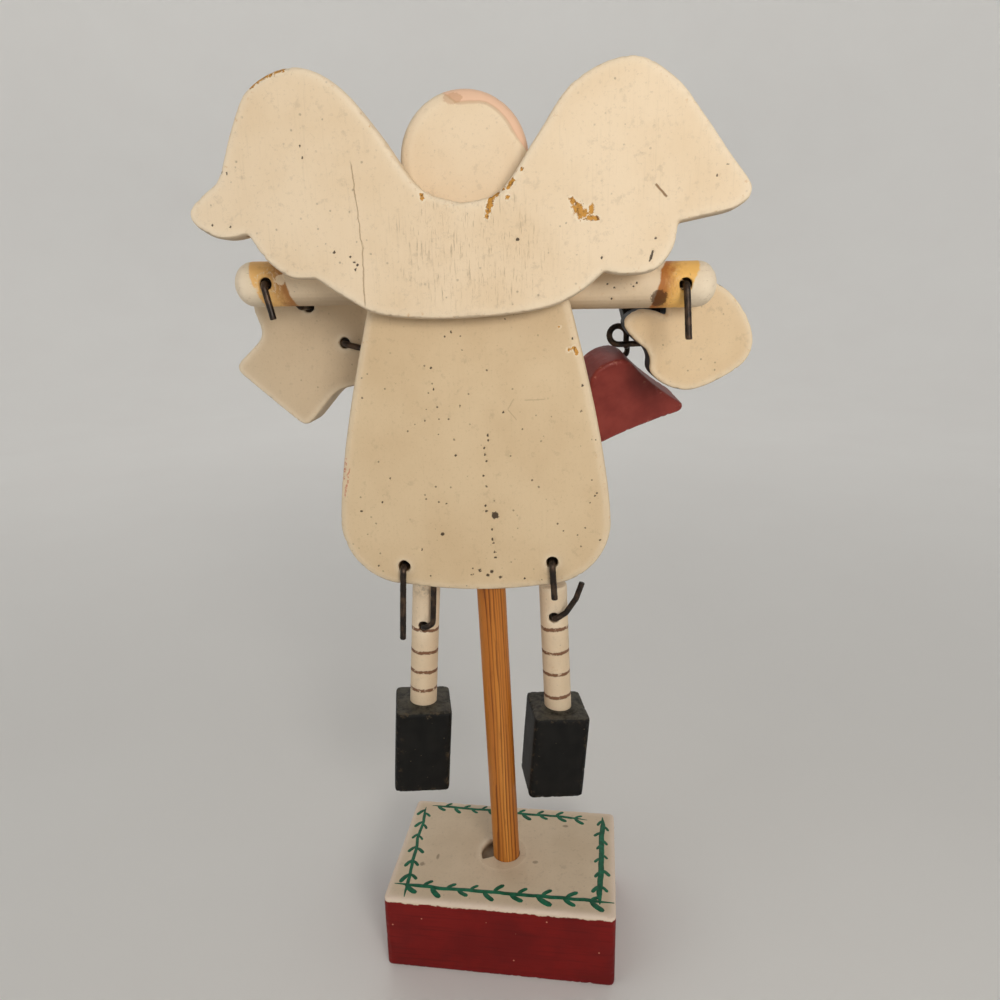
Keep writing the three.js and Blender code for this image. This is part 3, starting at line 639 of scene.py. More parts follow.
# Painted highlight along the rim of the top
rim_highlight = base_finish.mark("edge") * (1 - well)
top_colour = base_finish.mix(rim_highlight * 0.6, top_colour, linear(240, 218, 202))
cloudy = base_finish.grain(0.10, 4.0)
brushed = base_finish.grain(1.0, 5.0, 0.65, (0.08, 0.08, 2.6))
side_colour = base_finish.mix(cloudy.fade(0.35, 0.65), RED, RED_DEEP)
side_colour = base_finish.mix(brushed.fade(0.50, 0.70) * 0.55, side_colour, RED_DARK)
dust = base_finish.dots(0.22).fade(0.05, 0.03)
side_colour = base_finish.mix(dust * 0.8, side_colour, linear(226, 160, 130))
rubbed = base_finish.mark("edge") * base_finish.grain(0.5, 4.0, 0.7).fade(0.62, 0.75)
side_colour = base_finish.mix(rubbed * 0.35, side_colour, linear(190, 110, 90))
ragged = (base_finish.grain(0.35, 5.0, 0.75) - 0.5) * 2.0
is_top = (base_finish.z + ragged).fade(BASE_TOP - 1.05, BASE_TOP - 0.85).most(well)
base_colour = base_finish.mix(is_top, side_colour, top_colour)
# Painted shade in the crescent: darker the deeper the filler lies
crescent_shade = base_finish.z.fade(BASE_TOP - 0.35, BASE_TOP - 1.5) * well
base_colour = base_finish.mix(crescent_shade * 0.75, base_colour, linear(96, 74, 50))
base_rough = brushed * 0.15 + cloudy * 0.1 + 0.42
base_paint = base_finish.coat(base_colour, base_rough, top_height * is_top + brushed * 0.5, shine=0.22)
dress_in(base, base_paint)

# %% Filler in the post's hole
DOWEL_RADIUS = 3.175
POST_GAP = 0.10
POST_HOLE_RADIUS = 5.025
POST_HOLE_CENTRE = Vector((1.083, -0.191))
FILLER_LAP = 0.8
FILLER_LOW = 15.0
FILLER_SKIN = 0.01
CRESCENT_TURN = math.radians(-16)
CRESCENT_REACH = math.radians(46)
CRESCENT_SLOPE = math.radians(22)
CRESCENT_DEPTH = 1.6


def post_hole_reach(angle):
    """How far the wall of the hole is from the post's middle, and a little over its rim."""
    ahead = POST_HOLE_CENTRE @ Vector((math.cos(angle), math.sin(angle)))
    across = POST_HOLE_RADIUS ** 2 - POST_HOLE_CENTRE.length_squared
    return ahead + math.sqrt(ahead ** 2 + across) + FILLER_LAP


def filler_top(angle):
    """Flush with the base, and sunk in a crescent on one side."""
    off = abs((angle - CRESCENT_TURN + math.pi) % (2 * math.pi) - math.pi)
    sink = min(max((CRESCENT_REACH - off) / CRESCENT_SLOPE, 0), 1)
    return BASE_TOP - FILLER_SKIN - CRESCENT_DEPTH * sink * sink * (3 - 2 * sink)


filler = fillet(
    "post_hole_filler", STAND, "base_block", DOWEL_RADIUS + POST_GAP, post_hole_reach,
    filler_top, FILLER_LOW)
dress_in(filler, base_paint)

# %% [markdown]
# A green vine is painted along the four sides of the top. Each stem is one long brush
# stroke, thin at its ends, and the leaves are short curved strokes that point forwards.
# Geometry Nodes suit this: one tree turns a line into a stem and sets leaves along it, and
# each side of the border gives the tree its own spacing, stem and leaf sizes.

# %% Geometry tree
BRUSH_SIDES = 8


class Tree:
    """A geometry tree with named inputs, built from short calls."""

    def __init__(self, name, labels):
        self.group = bpy.data.node_groups.new(name, "GeometryNodeTree")
        face = self.group.interface
        face.new_socket("Geometry", in_out="INPUT", socket_type="NodeSocketGeometry")
        self.keys = {}
        for label in labels:
            made = face.new_socket(label, in_out="INPUT", socket_type="NodeSocketFloat")
            self.keys[label] = made.identifier
        face.new_socket("Geometry", in_out="OUTPUT", socket_type="NodeSocketGeometry")
        self.inputs = self.group.nodes.new("NodeGroupInput").outputs

    def node(self, kind, settings, sockets, out=0):
        made = self.group.nodes.new(kind)
        for key, setting in settings.items():
            setattr(made, key, setting)
        for key, given in sockets.items():
            many = given if isinstance(given, list) else [given]
            for one in many:
                if isinstance(one, bpy.types.NodeSocket):
                    self.group.links.new(one, made.inputs[key])
                else:
                    made.inputs[key].default_value = one
        return made.outputs[out]

    def math(self, operation, *numbers):
        return self.node("ShaderNodeMath", {"operation": operation}, dict(enumerate(numbers)))

    def chance(self, low, high, seed):
        sockets = {2: low, 3: high, "Seed": seed}
        return self.node("FunctionNodeRandomValue", {"data_type": "FLOAT"}, sockets, 1)

    def swelling(self, least, lean, full):
        """Thin at both ends of a stroke. A lean over 1 moves its widest place towards the end."""
        share = self.node("GeometryNodeSplineParameter", {}, {}, "Factor")
        late = self.math("POWER", share, lean)
        hump = self.math("SINE", self.math("MULTIPLY", late, math.pi))
        level = self.math("MINIMUM", self.math("MULTIPLY", hump, full), 1.0)
        return self.math("MULTIPLY_ADD", level, 1 - least, least)

    def stroke(self, curve, radius, least, lean=1.0, full=3.0):
        """A brush stroke along a curve."""
        sockets = {"Resolution": BRUSH_SIDES, "Radius": radius}
        ring = self.node("GeometryNodeCurvePrimitiveCircle", {}, sockets)
        width = self.swelling(least, lean, full)
        sockets = {"Curve": curve, "Profile Curve": ring, "Fill Caps": True, "Scale": width}
        return self.node("GeometryNodeCurveToMesh", {}, sockets)

    def ends_in(self, geometry):
        last = self.group.nodes.new("NodeGroupOutput")
        self.group.links.new(geometry, last.inputs[0])


# %% Vine tree
VINE_LENGTHS = ("Spacing", "Stem", "Leaf", "First", "Stagger", "Tail")
VINE_SHARES = ("Lopsided", "Spread")
STEM_STEPS = 48
WANDER_SCALE = 140.0
WANDER = 1.4 * MM
LEAF_STEPS = 7
LEAF_MIDDLE, LEAF_BOW, LEAF_TIP, LEAF_RADIUS = 0.45, 0.16, 0.06, 0.17
LEAST_SPREAD, MOST_SPREAD = 0.8, 1.3
LEAST_LEAF, MOST_LEAF = 0.8, 1.15
LEAF_SEEDS = {1: 11, -1: 23}
PAINT_THICKNESS = 0.2
PAINT_SINK = 0.02


def vine_tree(material):
    """A line becomes a wandering stem with leaves on both sides."""
    tree = Tree("vine", VINE_LENGTHS + VINE_SHARES)
    line = tree.node("GeometryNodeMeshToCurve", {}, {"Mesh": tree.inputs["Geometry"]})
    fine = tree.node("GeometryNodeResampleCurve", {}, {"Curve": line, "Count": STEM_STEPS})
    wander = tree.node("ShaderNodeTexNoise", {}, {"Scale": WANDER_SCALE, "Detail": 2.0}, "Color")
    for operation, other in (("SUBTRACT", (0.5, 0.5, 0.5)), ("MULTIPLY", (WANDER, WANDER, 0))):
        wander = tree.node("ShaderNodeVectorMath", {"operation": operation}, {0: wander, 1: other})
    fine = tree.node("GeometryNodeSetPosition", {}, {"Geometry": fine, "Offset": wander})
    strokes = [tree.stroke(fine, tree.inputs["Stem"], least=0.2)]
    whole = tree.node("GeometryNodeCurveLength", {}, {"Curve": fine})
    stop = tree.math("SUBTRACT", whole, tree.inputs["Tail"])
    for side, seed in LEAF_SEEDS.items():
        sockets = {"Resolution": LEAF_STEPS, "Start": (0, 0, 0)}
        sockets.update({"Middle": (LEAF_MIDDLE, LEAF_BOW * side, 0), "End": (1, LEAF_TIP * side, 0)})
        curl = tree.node("GeometryNodeCurveQuadraticBezier", {}, sockets)
        leaf = tree.stroke(curl, LEAF_RADIUS, least=0.5, lean=1.4, full=1.6)
        begin = tree.inputs["First"]
        if side > 0:
            begin = tree.math("ADD", begin, tree.inputs["Stagger"])
        rest = tree.node("GeometryNodeTrimCurve", {"mode": "LENGTH"}, {"Curve": fine, 4: begin, 5: stop})
        sockets = {"Curve": rest, "Length": tree.inputs["Spacing"]}
        ahead = tree.node("GeometryNodeCurveToPoints", {"mode": "LENGTH"}, sockets, "Tangent")
        heading = tree.node("FunctionNodeAlignRotationToVector", {"axis": "X"}, {"Vector": ahead})
        spread = tree.chance(LEAST_SPREAD * side, MOST_SPREAD * side, seed)
        wide = tree.math("MULTIPLY", tree.inputs["Spread"], spread)
        turn = tree.node("FunctionNodeAxisAngleToRotation", {}, {"Axis": (0, 0, 1), "Angle": wide})
        sockets = {"Rotation": heading, "Rotate By": turn}
        facing = tree.node("FunctionNodeRotateRotation", {"rotation_space": "LOCAL"}, sockets)
        size = tree.math("MULTIPLY", tree.inputs["Leaf"], tree.chance(LEAST_LEAF, MOST_LEAF, seed + 5))
        if side < 0:
            size = tree.math("MULTIPLY", size, tree.inputs["Lopsided"])
        spots = ahead.node.outputs["Points"]
        sockets = {"Points": spots, "Instance": leaf, "Rotation": facing, "Scale": size}
        strokes.append(tree.node("GeometryNodeInstanceOnPoints", {}, sockets))
    joined = tree.node("GeometryNodeJoinGeometry", {}, {"Geometry": strokes})
    level = (0, 0, (BASE_TOP - PAINT_SINK) * MM)
    sockets = {"Geometry": joined, "Translation": level, "Scale": (1, 1, PAINT_THICKNESS)}
    flat = tree.node("GeometryNodeTransform", {}, sockets)
    real = tree.node("GeometryNodeRealizeInstances", {}, {"Geometry": flat})
    tree.ends_in(tree.node("GeometryNodeSetMaterial", {}, {"Geometry": real, "Material": material}))
    return tree


# %% Vine border
VINE_SIDES = [
    # start, end, and the tree's lengths and shares in order
    ((24.6, 12.8), (-25.7, 12.8), (5.4, 0.54, 2.9, 2.7, 4.0, 5.4, 1.30, 0.56)),
    ((21.8, -15.4), (-19.4, -14.0), (4.4, 0.44, 2.3, 1.5, 2.0, 3.4, 1.25, 0.56)),
    ((23.3, -14.6), (21.4, 16.6), (4.3, 0.42, 2.4, 1.0, 1.2, 7.0, 1.20, 0.58)),
    ((-23.2, -15.4), (-22.6, 13.6), (4.2, 0.68, 2.5, 1.2, 2.0, 5.6, 1.00, 0.58)),
]


def grown(tree, start, end, values):
    """What the tree makes of one line, as a plain mesh."""
    line = bpy.data.meshes.new("vine_line")
    line.from_pydata([Vector((*start, 0)) * MM, Vector((*end, 0)) * MM], [(0, 1)], [])
    holder = placed("vine_line", line)
    modifier = holder.modifiers.new("grow", "NODES")
    modifier.node_group = tree.group
    for label, value in zip(VINE_LENGTHS + VINE_SHARES, values):
        modifier[tree.keys[label]] = value * MM if label in VINE_LENGTHS else value
    mesh = bpy.data.meshes.new_from_object(holder.evaluated_get(bpy.context.evaluated_depsgraph_get()))
    bpy.data.objects.remove(holder)
    return mesh


def vine_border(material):
    tree = vine_tree(material)
    whole = bmesh.new()
    for start, end, values in VINE_SIDES:
        whole.from_mesh(grown(tree, start, end, values))
    mesh = bpy.data.meshes.new("vine_border")
    whole.to_mesh(mesh)
    whole.free()
    mesh.materials.append(material)
    mesh.shade_smooth()
    return placed("vine_border", mesh)


vine_finish = Finish("vine_green", STAND)
vine_tone = vine_finish.grain(0.7, 4.0)
vine_colour = vine_finish.mix(vine_tone.fade(0.35, 0.65), linear(14, 84, 58), linear(28, 112, 80))
vine_paint = vine_finish.coat(vine_colour, vine_tone * 0.2 + 0.42, vine_tone)
vine = vine_border(vine_paint)
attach(vine, "base")
print("vine:", len(vine.data.polygons), "faces")

# %% [markdown]
# ## Post
# The post is bare pine dowel, oiled by handling. It was turned from straight-grained wood,
# so its growth layers are nearly flat sheets that run up the dowel. Each layer goes from
# pale amber to a thin dark line.

# %% Post
LAYER_MM = 0.72
LAYER_X, LAYER_Y = 0.86, 0.50

post = worn("post_dowel", POST, 0.32, rub=0.1, dent=0.02, seed=5)
post_finish = Finish("oiled_pine", POST)
bands = post_finish.grain(0.35, 2.0, 0.4, (1, 1, 0.012))
pores = post_finish.grain(5.0, 3.0, 0.6, (1, 1, 0.05))
waver = (post_finish.grain(0.30, 4.0, 0.6, (1, 1, 0.03)) - 0.5) * 2.6
across_layers = post_finish.x * LAYER_X + post_finish.y * LAYER_Y + waver
layer = (across_layers * (1 / LAYER_MM)).math("FRACT")
depth = post_finish.grain(0.8, 3.0, 0.6, (1, 1, 0.03)).fade(0.30, 0.62)
late_wood = layer.fade(0.40, 0.93) * layer.fade(1.0, 0.94) * (depth * 0.75 + 0.25)
pine = post_finish.mix(bands.fade(0.35, 0.65), linear(216, 144, 62), linear(190, 114, 40))
pine = post_finish.mix(late_wood * 0.95, pine, linear(112, 54, 12))
pine = post_finish.mix(pores.fade(0.56, 0.72) * 0.5, pine, linear(118, 62, 18))
post_height = late_wood * 0.5 - pores * 0.4
dress_in(post, post_finish.coat(pine, late_wood * 0.1 + 0.42, post_height, 0.05, shine=0.35))

# %% [markdown]
# ## Dress
# The dress is the largest board. Its back has scattered pinholes, a dark round knot, a
# dotted crack through the knot, golden chips near the right edge and a red scratch where
# something once rubbed against it.

# %% Dress
DRESS_CHIPS = [
    *dot(-18.8, 48.8, 0.75), *streak([(-19.8, 49.2), (-20.4, 48.1)], 0.7), *dot(-17.1, 53.0, 0.5)]
DRESS_KNOTS = [*dot(-4.3, 16.4, 1.5), *dot(6.5, 12.4, 0.8)]
DRESS_PINHOLES = dots_at([
    (3.3, 52.4), (7.4, 45.8), (7.1, 41.7), (3.4, 31.9), (3.2, 28.7), (5.4, 18.9), (-21.3, 37.2),
    (-6.3, 37.2), (-24.3, 31.6), (-24.1, 20.4), (-25.3, 11.2), (0.8, 3.6), (-10.1, 2.9), (-21.5, 42.1),
    (22.8, 17.3), (10.9, 9.1), (16.6, 24.0), (18.4, 19.1), (-19.5, 50.9), (2.1, 38.4), (20.0, 5.6)], 0.52)
HEM_PITS = dots_at([(-0.9, 4.6), (-2.5, 3.6), (-5.2, 3.2), (-3.4, 4.4)], 0.9, 0.8)
CRACK_DOTS = dots_at([
    (-3.2, 32.7), (-3.3, 31.6), (-2.4, 30.1), (-2.6, 28.8), (-2.8, 27.5), (-2.1, 24.6), (-2.7, 22.4),
    (-2.4, 18.4), (-2.6, 17.3), (-3.6, 13.4), (-3.7, 11.4), (-3.8, 10.6), (-4.1, 8.6), (-4.2, 7.4)], 0.56)
DRESS_PITS = DRESS_KNOTS + DRESS_PINHOLES + HEM_PITS + CRACK_DOTS

dress = worn(
    "dress_panel", FIGURE, 0.38, rub=0.3, dent=0.05, seed=7, smooth=2, chips=DRESS_CHIPS, pits=DRESS_PITS)
dress_finish = Finish("dress_paint", FIGURE)
dress_colour, dress_rough, dress_height = cream_coat(
    dress_finish, linear(222, 197, 160), linear(208, 180, 141), 0.3, 0.8)
scratches = dress_finish.line((25.1, 28.6), (26.2, 23.6), 0.35, 0.6)
scratches = scratches.most(dress_finish.line((24.6, 26.5), (26.1, 20.0), 0.25, 0.7))
scratches = scratches * dress_finish.grain(1.4, 4.0, 0.7).fade(0.42, 0.55)
dress_colour = dress_finish.mix(scratches * 0.6, dress_colour, linear(186, 70, 52))
hairs = dress_finish.line((-8.4, 39.8), (-7.1, 37.7), 0.16, 0.3).most(
    dress_finish.line((-7.1, 37.7), (-8.9, 35.5), 0.16, 0.3)).most(
    dress_finish.line((-10.2, 39.5), (-14.5, 39.5), 0.16, 0.3))
dress_colour = dress_finish.mix(hairs * 0.2, dress_colour, SOOT)
dress_in(dress, dress_finish.coat(dress_colour, dress_rough, dress_height - hairs * 0.5))

# %% [markdown]
# ## Wings
# The wings were brushed from top to bottom with a dry brush, so fine dark lines show in
# their middle. Flakes follow the neckline, one larger flake lies on the right wing, the
# left crest is rubbed bare, and a fine split runs down the left wing.

# %% Wings
WING_CHIPS = [
    *streak([(-6.1, 76.2), (-5.2, 75.2), (-4.7, 73.2)], 1.05), *dot(-4.4, 72.1, 0.8), *dot(-7.2, 76.7, 0.7),
    *streak([(-8.1, 76.8), (-8.9, 77.9)], 0.8), *dot(-10.4, 79.6, 0.7), *dot(-8.0, 75.2, 0.8),
    *streak([(6.9, 76.0), (6.7, 75.2)], 0.7), *streak([(-19.0, 74.6), (-19.3, 74.0)], 0.8),
    *streak([(-20.0, 73.2), (-20.9, 72.1)], 1.7), *streak([(-22.4, 73.3), (-22.3, 72.4)], 0.85),
    *streak([(-21.9, 71.5), (-23.4, 71.4)], 0.8),
    *streak([(35.4, 93.8), (32.8, 95.3), (29.2, 96.3)], 1.0, 0.75)]
WING_KNOTS = [
    *streak([(-33.1, 65.9), (-32.6, 64.3)], 0.55, 0.8), *dots_at([(22.9, 66.9), (-9.7, 68.3)], 0.62)]
WING_PINHOLES = dots_at([
    (27.3, 82.4), (27.5, 84.3), (20.1, 66.0), (19.4, 65.1), (19.3, 63.8), (18.9, 64.6), (-33.5, 68.0),
    (-45.0, 79.4), (-43.3, 77.7), (-24.3, 64.9), (44.5, 71.9), (41.3, 71.5), (42.0, 80.6),
    (40.9, 80.3)], 0.5)
WING_PITS = WING_KNOTS + WING_PINHOLES

wings = worn(
    "wing_panel", FIGURE, 0.36, rub=0.3, dent=0.04, seed=11, smooth=2, chips=WING_CHIPS, pits=WING_PITS)
wing_finish = Finish("wing_paint", FIGURE)
wing_colour, wing_rough, wing_height = cream_coat(wing_finish, brush=0.6, specks=0.35)
middle = wing_finish.reach(-1.0, 67, 18, 14).fade(1.1, 0.5)
dry_brush = wing_finish.grain(1.9, 5.0, 0.75, (2.0, 2.0, 0.13)).fade(0.56, 0.68) * middle
wing_colour = wing_finish.mix(dry_brush * 0.34, wing_colour, SOOT)
scratch = wing_finish.line((-33.0, 76.7), (-35.2, 74.4), 0.26, 0.2)
split = wing_finish.line((18.9, 82.0), (17.7, 67.1), 0.16, 0.35).most(
    wing_finish.line((17.7, 68.5), (18.0, 57.0), 0.18, 0.3))
wing_colour = wing_finish.mix(scratch.most(split * 0.6) * 0.8, wing_colour, BARE_WOOD_DARK)
wing_height = wing_height - dry_brush * 0.8 - scratch - split
dress_in(wings, wing_finish.coat(wing_colour, wing_rough, wing_height, 0.08))

# %% [markdown]
# ## Head
# The face side is flesh colour, and that paint laps over the rim onto the cream back, where
# the brush ended in a small swirl. The face itself is a plain folk-art one: dot eyes, round
# cheeks and a short smile.

# %% Head
HEAD_HEIGHT = 82.5
HEAD_RADIUS = 11.6
BACK_EDGE, FACE_EDGE = 7.2, -8.6
SMILE_HEIGHT, SMILE_RADIUS, SMILE_TOP = 82.6, 5.0, 78.9
FLESH = linear(238, 198, 168)


def pair(finish, x, z, wide, tall, rough):
    """Two like spots, left and right of the middle."""
    return finish.spot(x, z, wide, tall, rough).most(finish.spot(-x, z, wide, tall, rough))


head = worn("head_disc", FIGURE, 0.34, rub=0.15, dent=0.04, seed=13)
head_finish = Finish("head_paint", FIGURE)
head_colour, head_rough, head_height = cream_coat(head_finish, brush=0.1, specks=0.15)
# The lap of flesh paint lies between two angles round the rim of the back
aside, above = head_finish.x * -1, head_finish.z - HEAD_HEIGHT
around = aside.math("ARCTAN2", above) + (head_finish.grain(0.3, 2.0) - 0.5) * 0.25
lap = around.fade(-0.40, -0.06) * (2.7 - around.fade(0.0, 0.5) * 0.8) * around.fade(1.62, 1.10)
inside = head_finish.reach(0, HEAD_HEIGHT) - (HEAD_RADIUS - lap)
front = head_finish.y.fade(BACK_EDGE, BACK_EDGE - 0.6)
lapped = inside.fade(0, 0.25) * around.fade(-0.42, -0.30) * around.fade(1.75, 1.6)
head_colour = head_finish.mix(lapped.most(front), head_colour, FLESH)
on_lap = around.fade(-0.40, -0.20) * around.fade(1.5, 1.1) * (1 - front)
seam = abs(inside).fade(0.45, 0.1) * on_lap
head_colour = head_finish.mix(seam * 0.45, head_colour, linear(190, 146, 108))
swirl = head_finish.spot(1.6, 92.2, 1.9, 1.1, 0.5) * (1 - front)
head_colour = head_finish.mix(swirl * 0.5, head_colour, linear(196, 150, 112))
face = head_finish.y.fade(FACE_EDGE, FACE_EDGE - 0.4)
cheeks = pair(head_finish, 5.6, 79.6, 2.4, 2.2, 0.25)
eyes = pair(head_finish, 3.5, 84.2, 0.75, 0.95, 0.05)
smile = abs(head_finish.reach(0, SMILE_HEIGHT) - SMILE_RADIUS).fade(0.42, 0.25)
smile = smile * head_finish.z.fade(SMILE_TOP, SMILE_TOP - 0.4)
head_colour = head_finish.mix(cheeks * face * 0.45, head_colour, linear(222, 120, 104))
head_colour = head_finish.mix(smile * face, head_colour, linear(160, 60, 52))
head_colour = head_finish.mix(eyes * face, head_colour, linear(30, 26, 24))
dress_in(head, head_finish.coat(head_colour, head_rough, head_height + lapped * 1.2))

# %% [markdown]
# ## Arms
# Each arm is a cream dowel with a gold cuff, brown towards the shoulder and paler towards
# the hand. The wire has scratched the paint in rings round its hole.

# %% Arms
CUFF_IN = 35.9
CUFF_OUT = 42.5
CUFF_SLANT = 0.28
ARMS = {
    # A blot is a patch of other paint: its x, z, size and colour
    "arm_left": dict(
        side=1, height=61.9, hole=40.0, gold=linear(246, 194, 118), brown=linear(172, 114, 56),
        scratched=0.9, blot=(36.9, 62.6, 1.1, linear(246, 224, 190))),
    "arm_right": dict(
        side=-1, height=60.3, hole=40.9, gold=linear(252, 198, 108), brown=linear(176, 104, 32),
        scratched=0.3, blot=(-36.0, 57.8, 1.7, linear(70, 38, 10))),
}
ARM_PITS = {
    "arm_left": [],
    "arm_right": dots_at([(-26.2, 60.6), (-27.5, 59.9), (-31.1, 60.1), (-27.1, 57.8), (-31.7, 60.7)], 0.42),
}


def arm_finish(name, side, height, hole, gold, brown, scratched, blot):
    finish = Finish(name, FIGURE)
    colour, roughness, relief = cream_coat(finish, linear(232, 210, 179), linear(216, 190, 156), 0.1, 0.5)
    ragged = (finish.grain(0.25, 4.0, 0.6) - 0.5) * 2.2
    wavy = finish.x * side - (finish.z - height) * CUFF_SLANT + ragged
    hand = wavy.fade(CUFF_OUT - 0.25, CUFF_OUT + 0.25)
    cuff = wavy.fade(CUFF_IN - 0.2, CUFF_IN + 0.2) * (1 - hand)
    streaky = finish.grain(0.8, 5.0, 0.7, (1, 1, 0.4))
    paint = finish.mix((wavy + (streaky - 0.5) * 5).fade(CUFF_IN + 0.4, CUFF_IN + 4.4), brown, gold)
    paint = finish.mix(streaky.fade(0.60, 0.72) * 0.6, paint, linear(116, 66, 22))
    colour = finish.mix(cuff * 0.95, colour, paint)
    from_hole = finish.reach(side * hole, height)
    rings = ((from_hole + (streaky - 0.5) * 4.0) * 0.9).math("FRACT").fade(0.6, 0.9)
    rings = rings * from_hole.fade(4.2, 2.2) * finish.grain(0.6, 4.0, 0.7).fade(0.45, 0.58)
    colour = finish.mix(rings * scratched * 0.8, colour, linear(244, 222, 188))
    x, z, size, tint = blot
    colour = finish.mix(finish.spot(x, z, size, size, 0.5) * 0.8, colour, tint)
    colour = finish.mix(hand * 0.5, colour, CREAM_FRESH_AND_HIGHLIGHT)
    lines = finish.grain(1.2, 5.0, 0.7, (0.5, 1, 1.6)).fade(0.58, 0.68)
    colour = finish.mix(hand * lines * 0.35, colour, linear(150, 112, 72))
    # Painted shade inside the wire hole
    colour = finish.mix(finish.mark("hollow").fade(0.1, 0.6), colour, linear(56, 36, 20))
    return finish.coat(colour, roughness, relief + streaky * 0.5 - rings * 0.5)


for node, looks in ARMS.items():
    arm = worn(node, FIGURE, 0.27, rub=0.2, dent=0.08, seed=17 + looks["side"], pits=ARM_PITS[node])
    dress_in(arm, arm_finish(f"{node}_paint", **looks))

# %% [markdown]
# ## Legs and feet
# Thin brown rings are painted round each cream leg, and its top is painted greyer as the
# shadow of the hem. The feet are black blocks with dust on their tops, edges gone
# grey-brown, and a fillet of black paint where each leg goes in.

# %% Legs and feet
STRIPE_WIDTH = 0.5
COLLAR_GAP, COLLAR_WIDTH = 0.02, 0.9
COLLAR_RISE, COLLAR_SINK = 0.18, 1.6
LEG_SIDES = {
    # frame, foot top below the wire hole, foot tilt in degrees, heights of the rings
    "left": (LEG_LEFT, 20.3, 0.0, (3.9, 8.6, 13.7, 19.2)),
    "right": (LEG_RIGHT, 23.5, 6.7, (3.4, 9.3, 14.6, 20.5)),
}


def leg_finish(name, spot, foot_top, stripes):
    finish = Finish(name, spot)
    colour, roughness, height = cream_coat(finish, linear(232, 209, 178), linear(214, 187, 152), 0.3, 0.3)
    wavy = finish.z + (finish.grain(0.3, 3.0) - 0.5) * 1.0 + (finish.grain(1.6, 4.0, 0.7) - 0.5) * 0.6
    ring = None
    for stripe in stripes:
        here = abs(wavy - (stripe - foot_top)).fade(STRIPE_WIDTH, STRIPE_WIDTH * 0.55)
        ring = here if ring is None else ring.most(here)
    thin = finish.grain(0.9, 4.0).fade(0.30, 0.45)
    colour = finish.mix(ring * thin * 0.9, colour, linear(112, 64, 34))
    # Painted shadow of the dress hem: greyer in patches near the top of the leg
    hem_shadow = finish.z.fade(5.5, 10.0) * finish.grain(0.6, 4.0, 0.7).fade(0.42, 0.60)
    colour = finish.mix(hem_shadow * 0.45, colour, linear(128, 112, 92))
    return finish.coat(colour, roughness, height)


def black_finish(name, spot):
    finish = Finish(name, spot)
    tone = finish.grain(0.25, 4.0)
    strokes = finish.grain(1.2, 4.0, 0.6, (1.6, 1.6, 0.15))
    colour = finish.mix(tone.fade(0.3, 0.7), linear(12, 12, 11), linear(23, 22, 20))
    dusty = finish.mark("up").fade(0.5, 0.9) * finish.grain(0.5, 5.0, 0.7).fade(0.25, 0.65)
    colour = finish.mix(dusty * 0.5, colour, linear(112, 106, 92))
    rims = finish.mark("edge") * finish.grain(0.7, 4.0, 0.7).fade(0.54, 0.68)
    colour = finish.mix(rims * 0.5, colour, linear(104, 86, 62))
    scuffs = (finish.dots(0.5) + (tone - 0.5) * 0.2).fade(0.07, 0.03)
    colour = finish.mix(scuffs * 0.6, colour, linear(104, 92, 74))
    return finish.coat(colour, strokes * 0.2 + 0.45, strokes * 0.6 - rims * 0.8, shine=0.2)


for side, (spot, foot_top, tilt, stripes) in LEG_SIDES.items():
    leg = worn(f"leg_{side}", spot, 0.25, rub=0.15, dent=0.04, seed=23)
    dress_in(leg, leg_finish(f"leg_{side}_paint", spot, foot_top, stripes))
    foot = worn(f"foot_{side}", spot, 0.30, rub=0.3, dent=0.05, seed=29)
    foot_paint = black_finish(f"foot_{side}_paint", spot)
    dress_in(foot, foot_paint)
    slope = math.tan(math.radians(tilt))
    collar = fillet(
        f"foot_collar_{side}", spot, f"foot_{side}", DOWEL_RADIUS + COLLAR_GAP,
        lambda angle: DOWEL_RADIUS + COLLAR_WIDTH,
        lambda angle: COLLAR_RISE - foot_top + slope * DOWEL_RADIUS * math.cos(angle),
        -COLLAR_SINK - foot_top)
    dress_in(collar, foot_paint)

# %% [markdown]
# ## Cut-out ornaments
# The star is cream all over. The mitten has a cream back and dark slate sides and front;
# on the sides the slate is partly painted shade. The bell is dark red, and the boot black.

# %% Star and mitten
MITTEN_BACK = -7.3

star = worn("star_charm", FIGURE, 0.28, rub=0.25, dent=0.05, seed=31)
star_finish = Finish("star_paint", FIGURE)
star_coat = cream_coat(star_finish, linear(214, 192, 161), linear(200, 176, 144), 0.3, 0.3)
dress_in(star, star_finish.coat(*star_coat))

mitten = worn("mitten_charm", FIGURE, 0.28, rub=0.25, dent=0.05, seed=37)
mitten_finish = Finish("mitten_paint", FIGURE)
mitten_colour, mitten_rough, mitten_height = cream_coat(
    mitten_finish, linear(236, 210, 172), linear(222, 193, 152), 0.3, 0.4)
ragged = (mitten_finish.grain(0.8, 4.0, 0.7) - 0.5) * 0.8
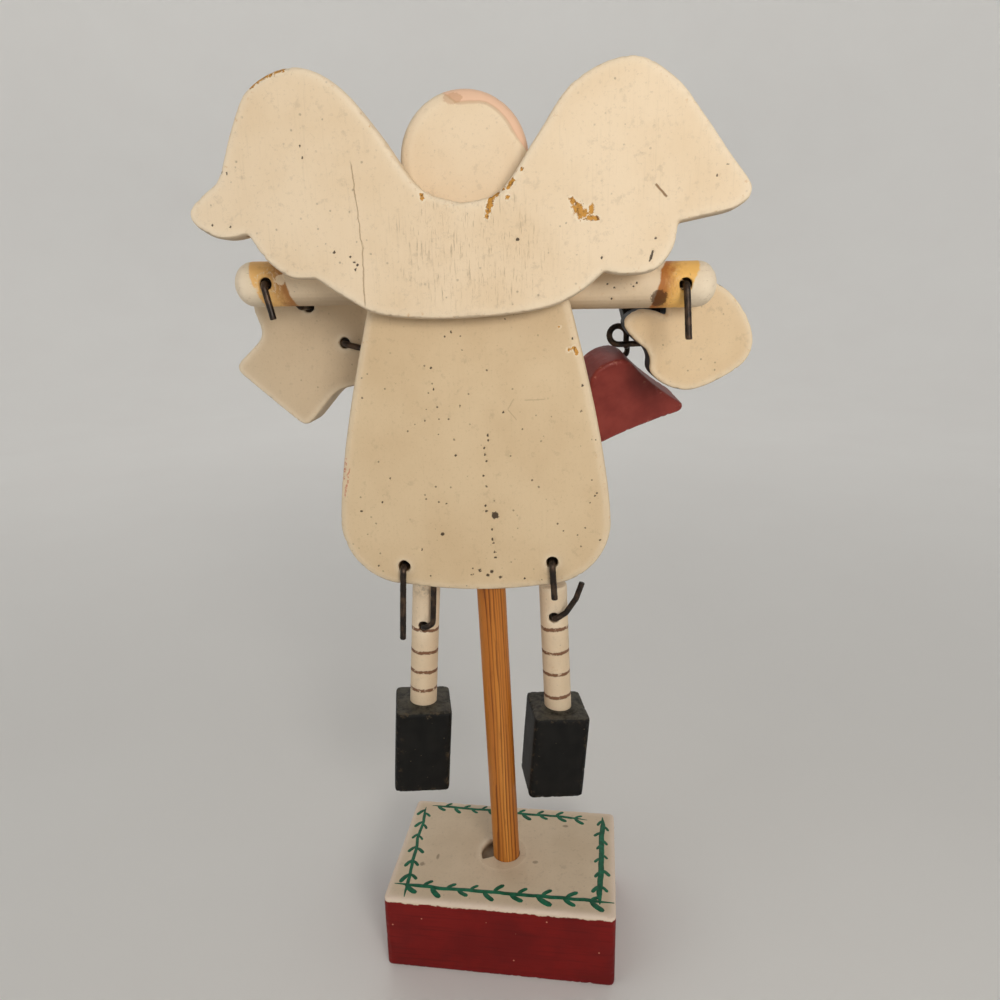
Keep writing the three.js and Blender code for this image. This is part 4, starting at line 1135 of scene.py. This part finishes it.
# Dark slate on the sides and front; on the sides it is partly painted shade
dark_sides_and_shade = (mitten_finish.y + ragged).fade(MITTEN_BACK - 0.6, MITTEN_BACK - 0.9)
slate = mitten_finish.mix(mitten_finish.grain(0.4, 4.0), linear(30, 33, 36), linear(50, 53, 56))
mitten_colour = mitten_finish.mix(dark_sides_and_shade, mitten_colour, slate)
dress_in(mitten, mitten_finish.coat(mitten_colour, mitten_rough, mitten_height, shine=0.2))

# %% Bell and boot
bell = worn("bell_charm", BELL, 0.28, rub=0.25, dent=0.05, seed=41)
bell_finish = Finish("bell_paint", BELL)
bell_tone = bell_finish.grain(0.15, 4.0)
bell_brush = bell_finish.grain(1.0, 4.0, 0.6, (0.12, 2, 2))
bell_colour = bell_finish.mix(bell_tone.fade(0.3, 0.7), linear(150, 64, 55), linear(128, 50, 43))
bell_colour = bell_finish.mix(bell_brush.fade(0.58, 0.8) * 0.3, bell_colour, linear(104, 36, 31))
bell_rims = bell_finish.mark("edge") * bell_finish.grain(0.5, 4.0, 0.7).fade(0.56, 0.68)
bell_colour = bell_finish.mix(bell_rims * 0.5, bell_colour, linear(206, 140, 118))
bell_height = bell_brush * 0.5 - bell_rims * 0.4
dress_in(bell, bell_finish.coat(bell_colour, bell_brush * 0.15 + 0.38, bell_height, shine=0.25))

boot = worn("boot_charm", FIGURE, 0.26, rub=0.2, dent=0.04, seed=43)
dress_in(boot, black_finish("boot_paint", FIGURE))

# %% [markdown]
# ## Wire
# The wire is soft black iron. Its scale has rubbed to a brown sheen in patches.

# %% Wires
wire_finish = Finish("black_wire", FIGURE)
scale_tone = wire_finish.grain(0.5, 4.0, 0.6)
wire_colour = wire_finish.mix(scale_tone.fade(0.4, 0.7), linear(46, 40, 36), linear(88, 70, 56))
wire_rust = wire_finish.grain(1.8, 4.0, 0.7).fade(0.58, 0.70)
wire_colour = wire_finish.mix(wire_rust * 0.5, wire_colour, linear(104, 66, 44))
wire_finish.shader.inputs["Metallic"].default_value = 0.7
wire_paint = wire_finish.coat(wire_colour, scale_tone * 0.25 + 0.30, scale_tone, 0.03, shine=0.5)
for node in ("leg_wire_left", "leg_wire_right", "star_wire", "ornament_wire"):
    wire = worn(node, FIGURE, 0.17, rub=0.05, dent=0.02, seed=47)
    dress_in(wire, wire_paint)
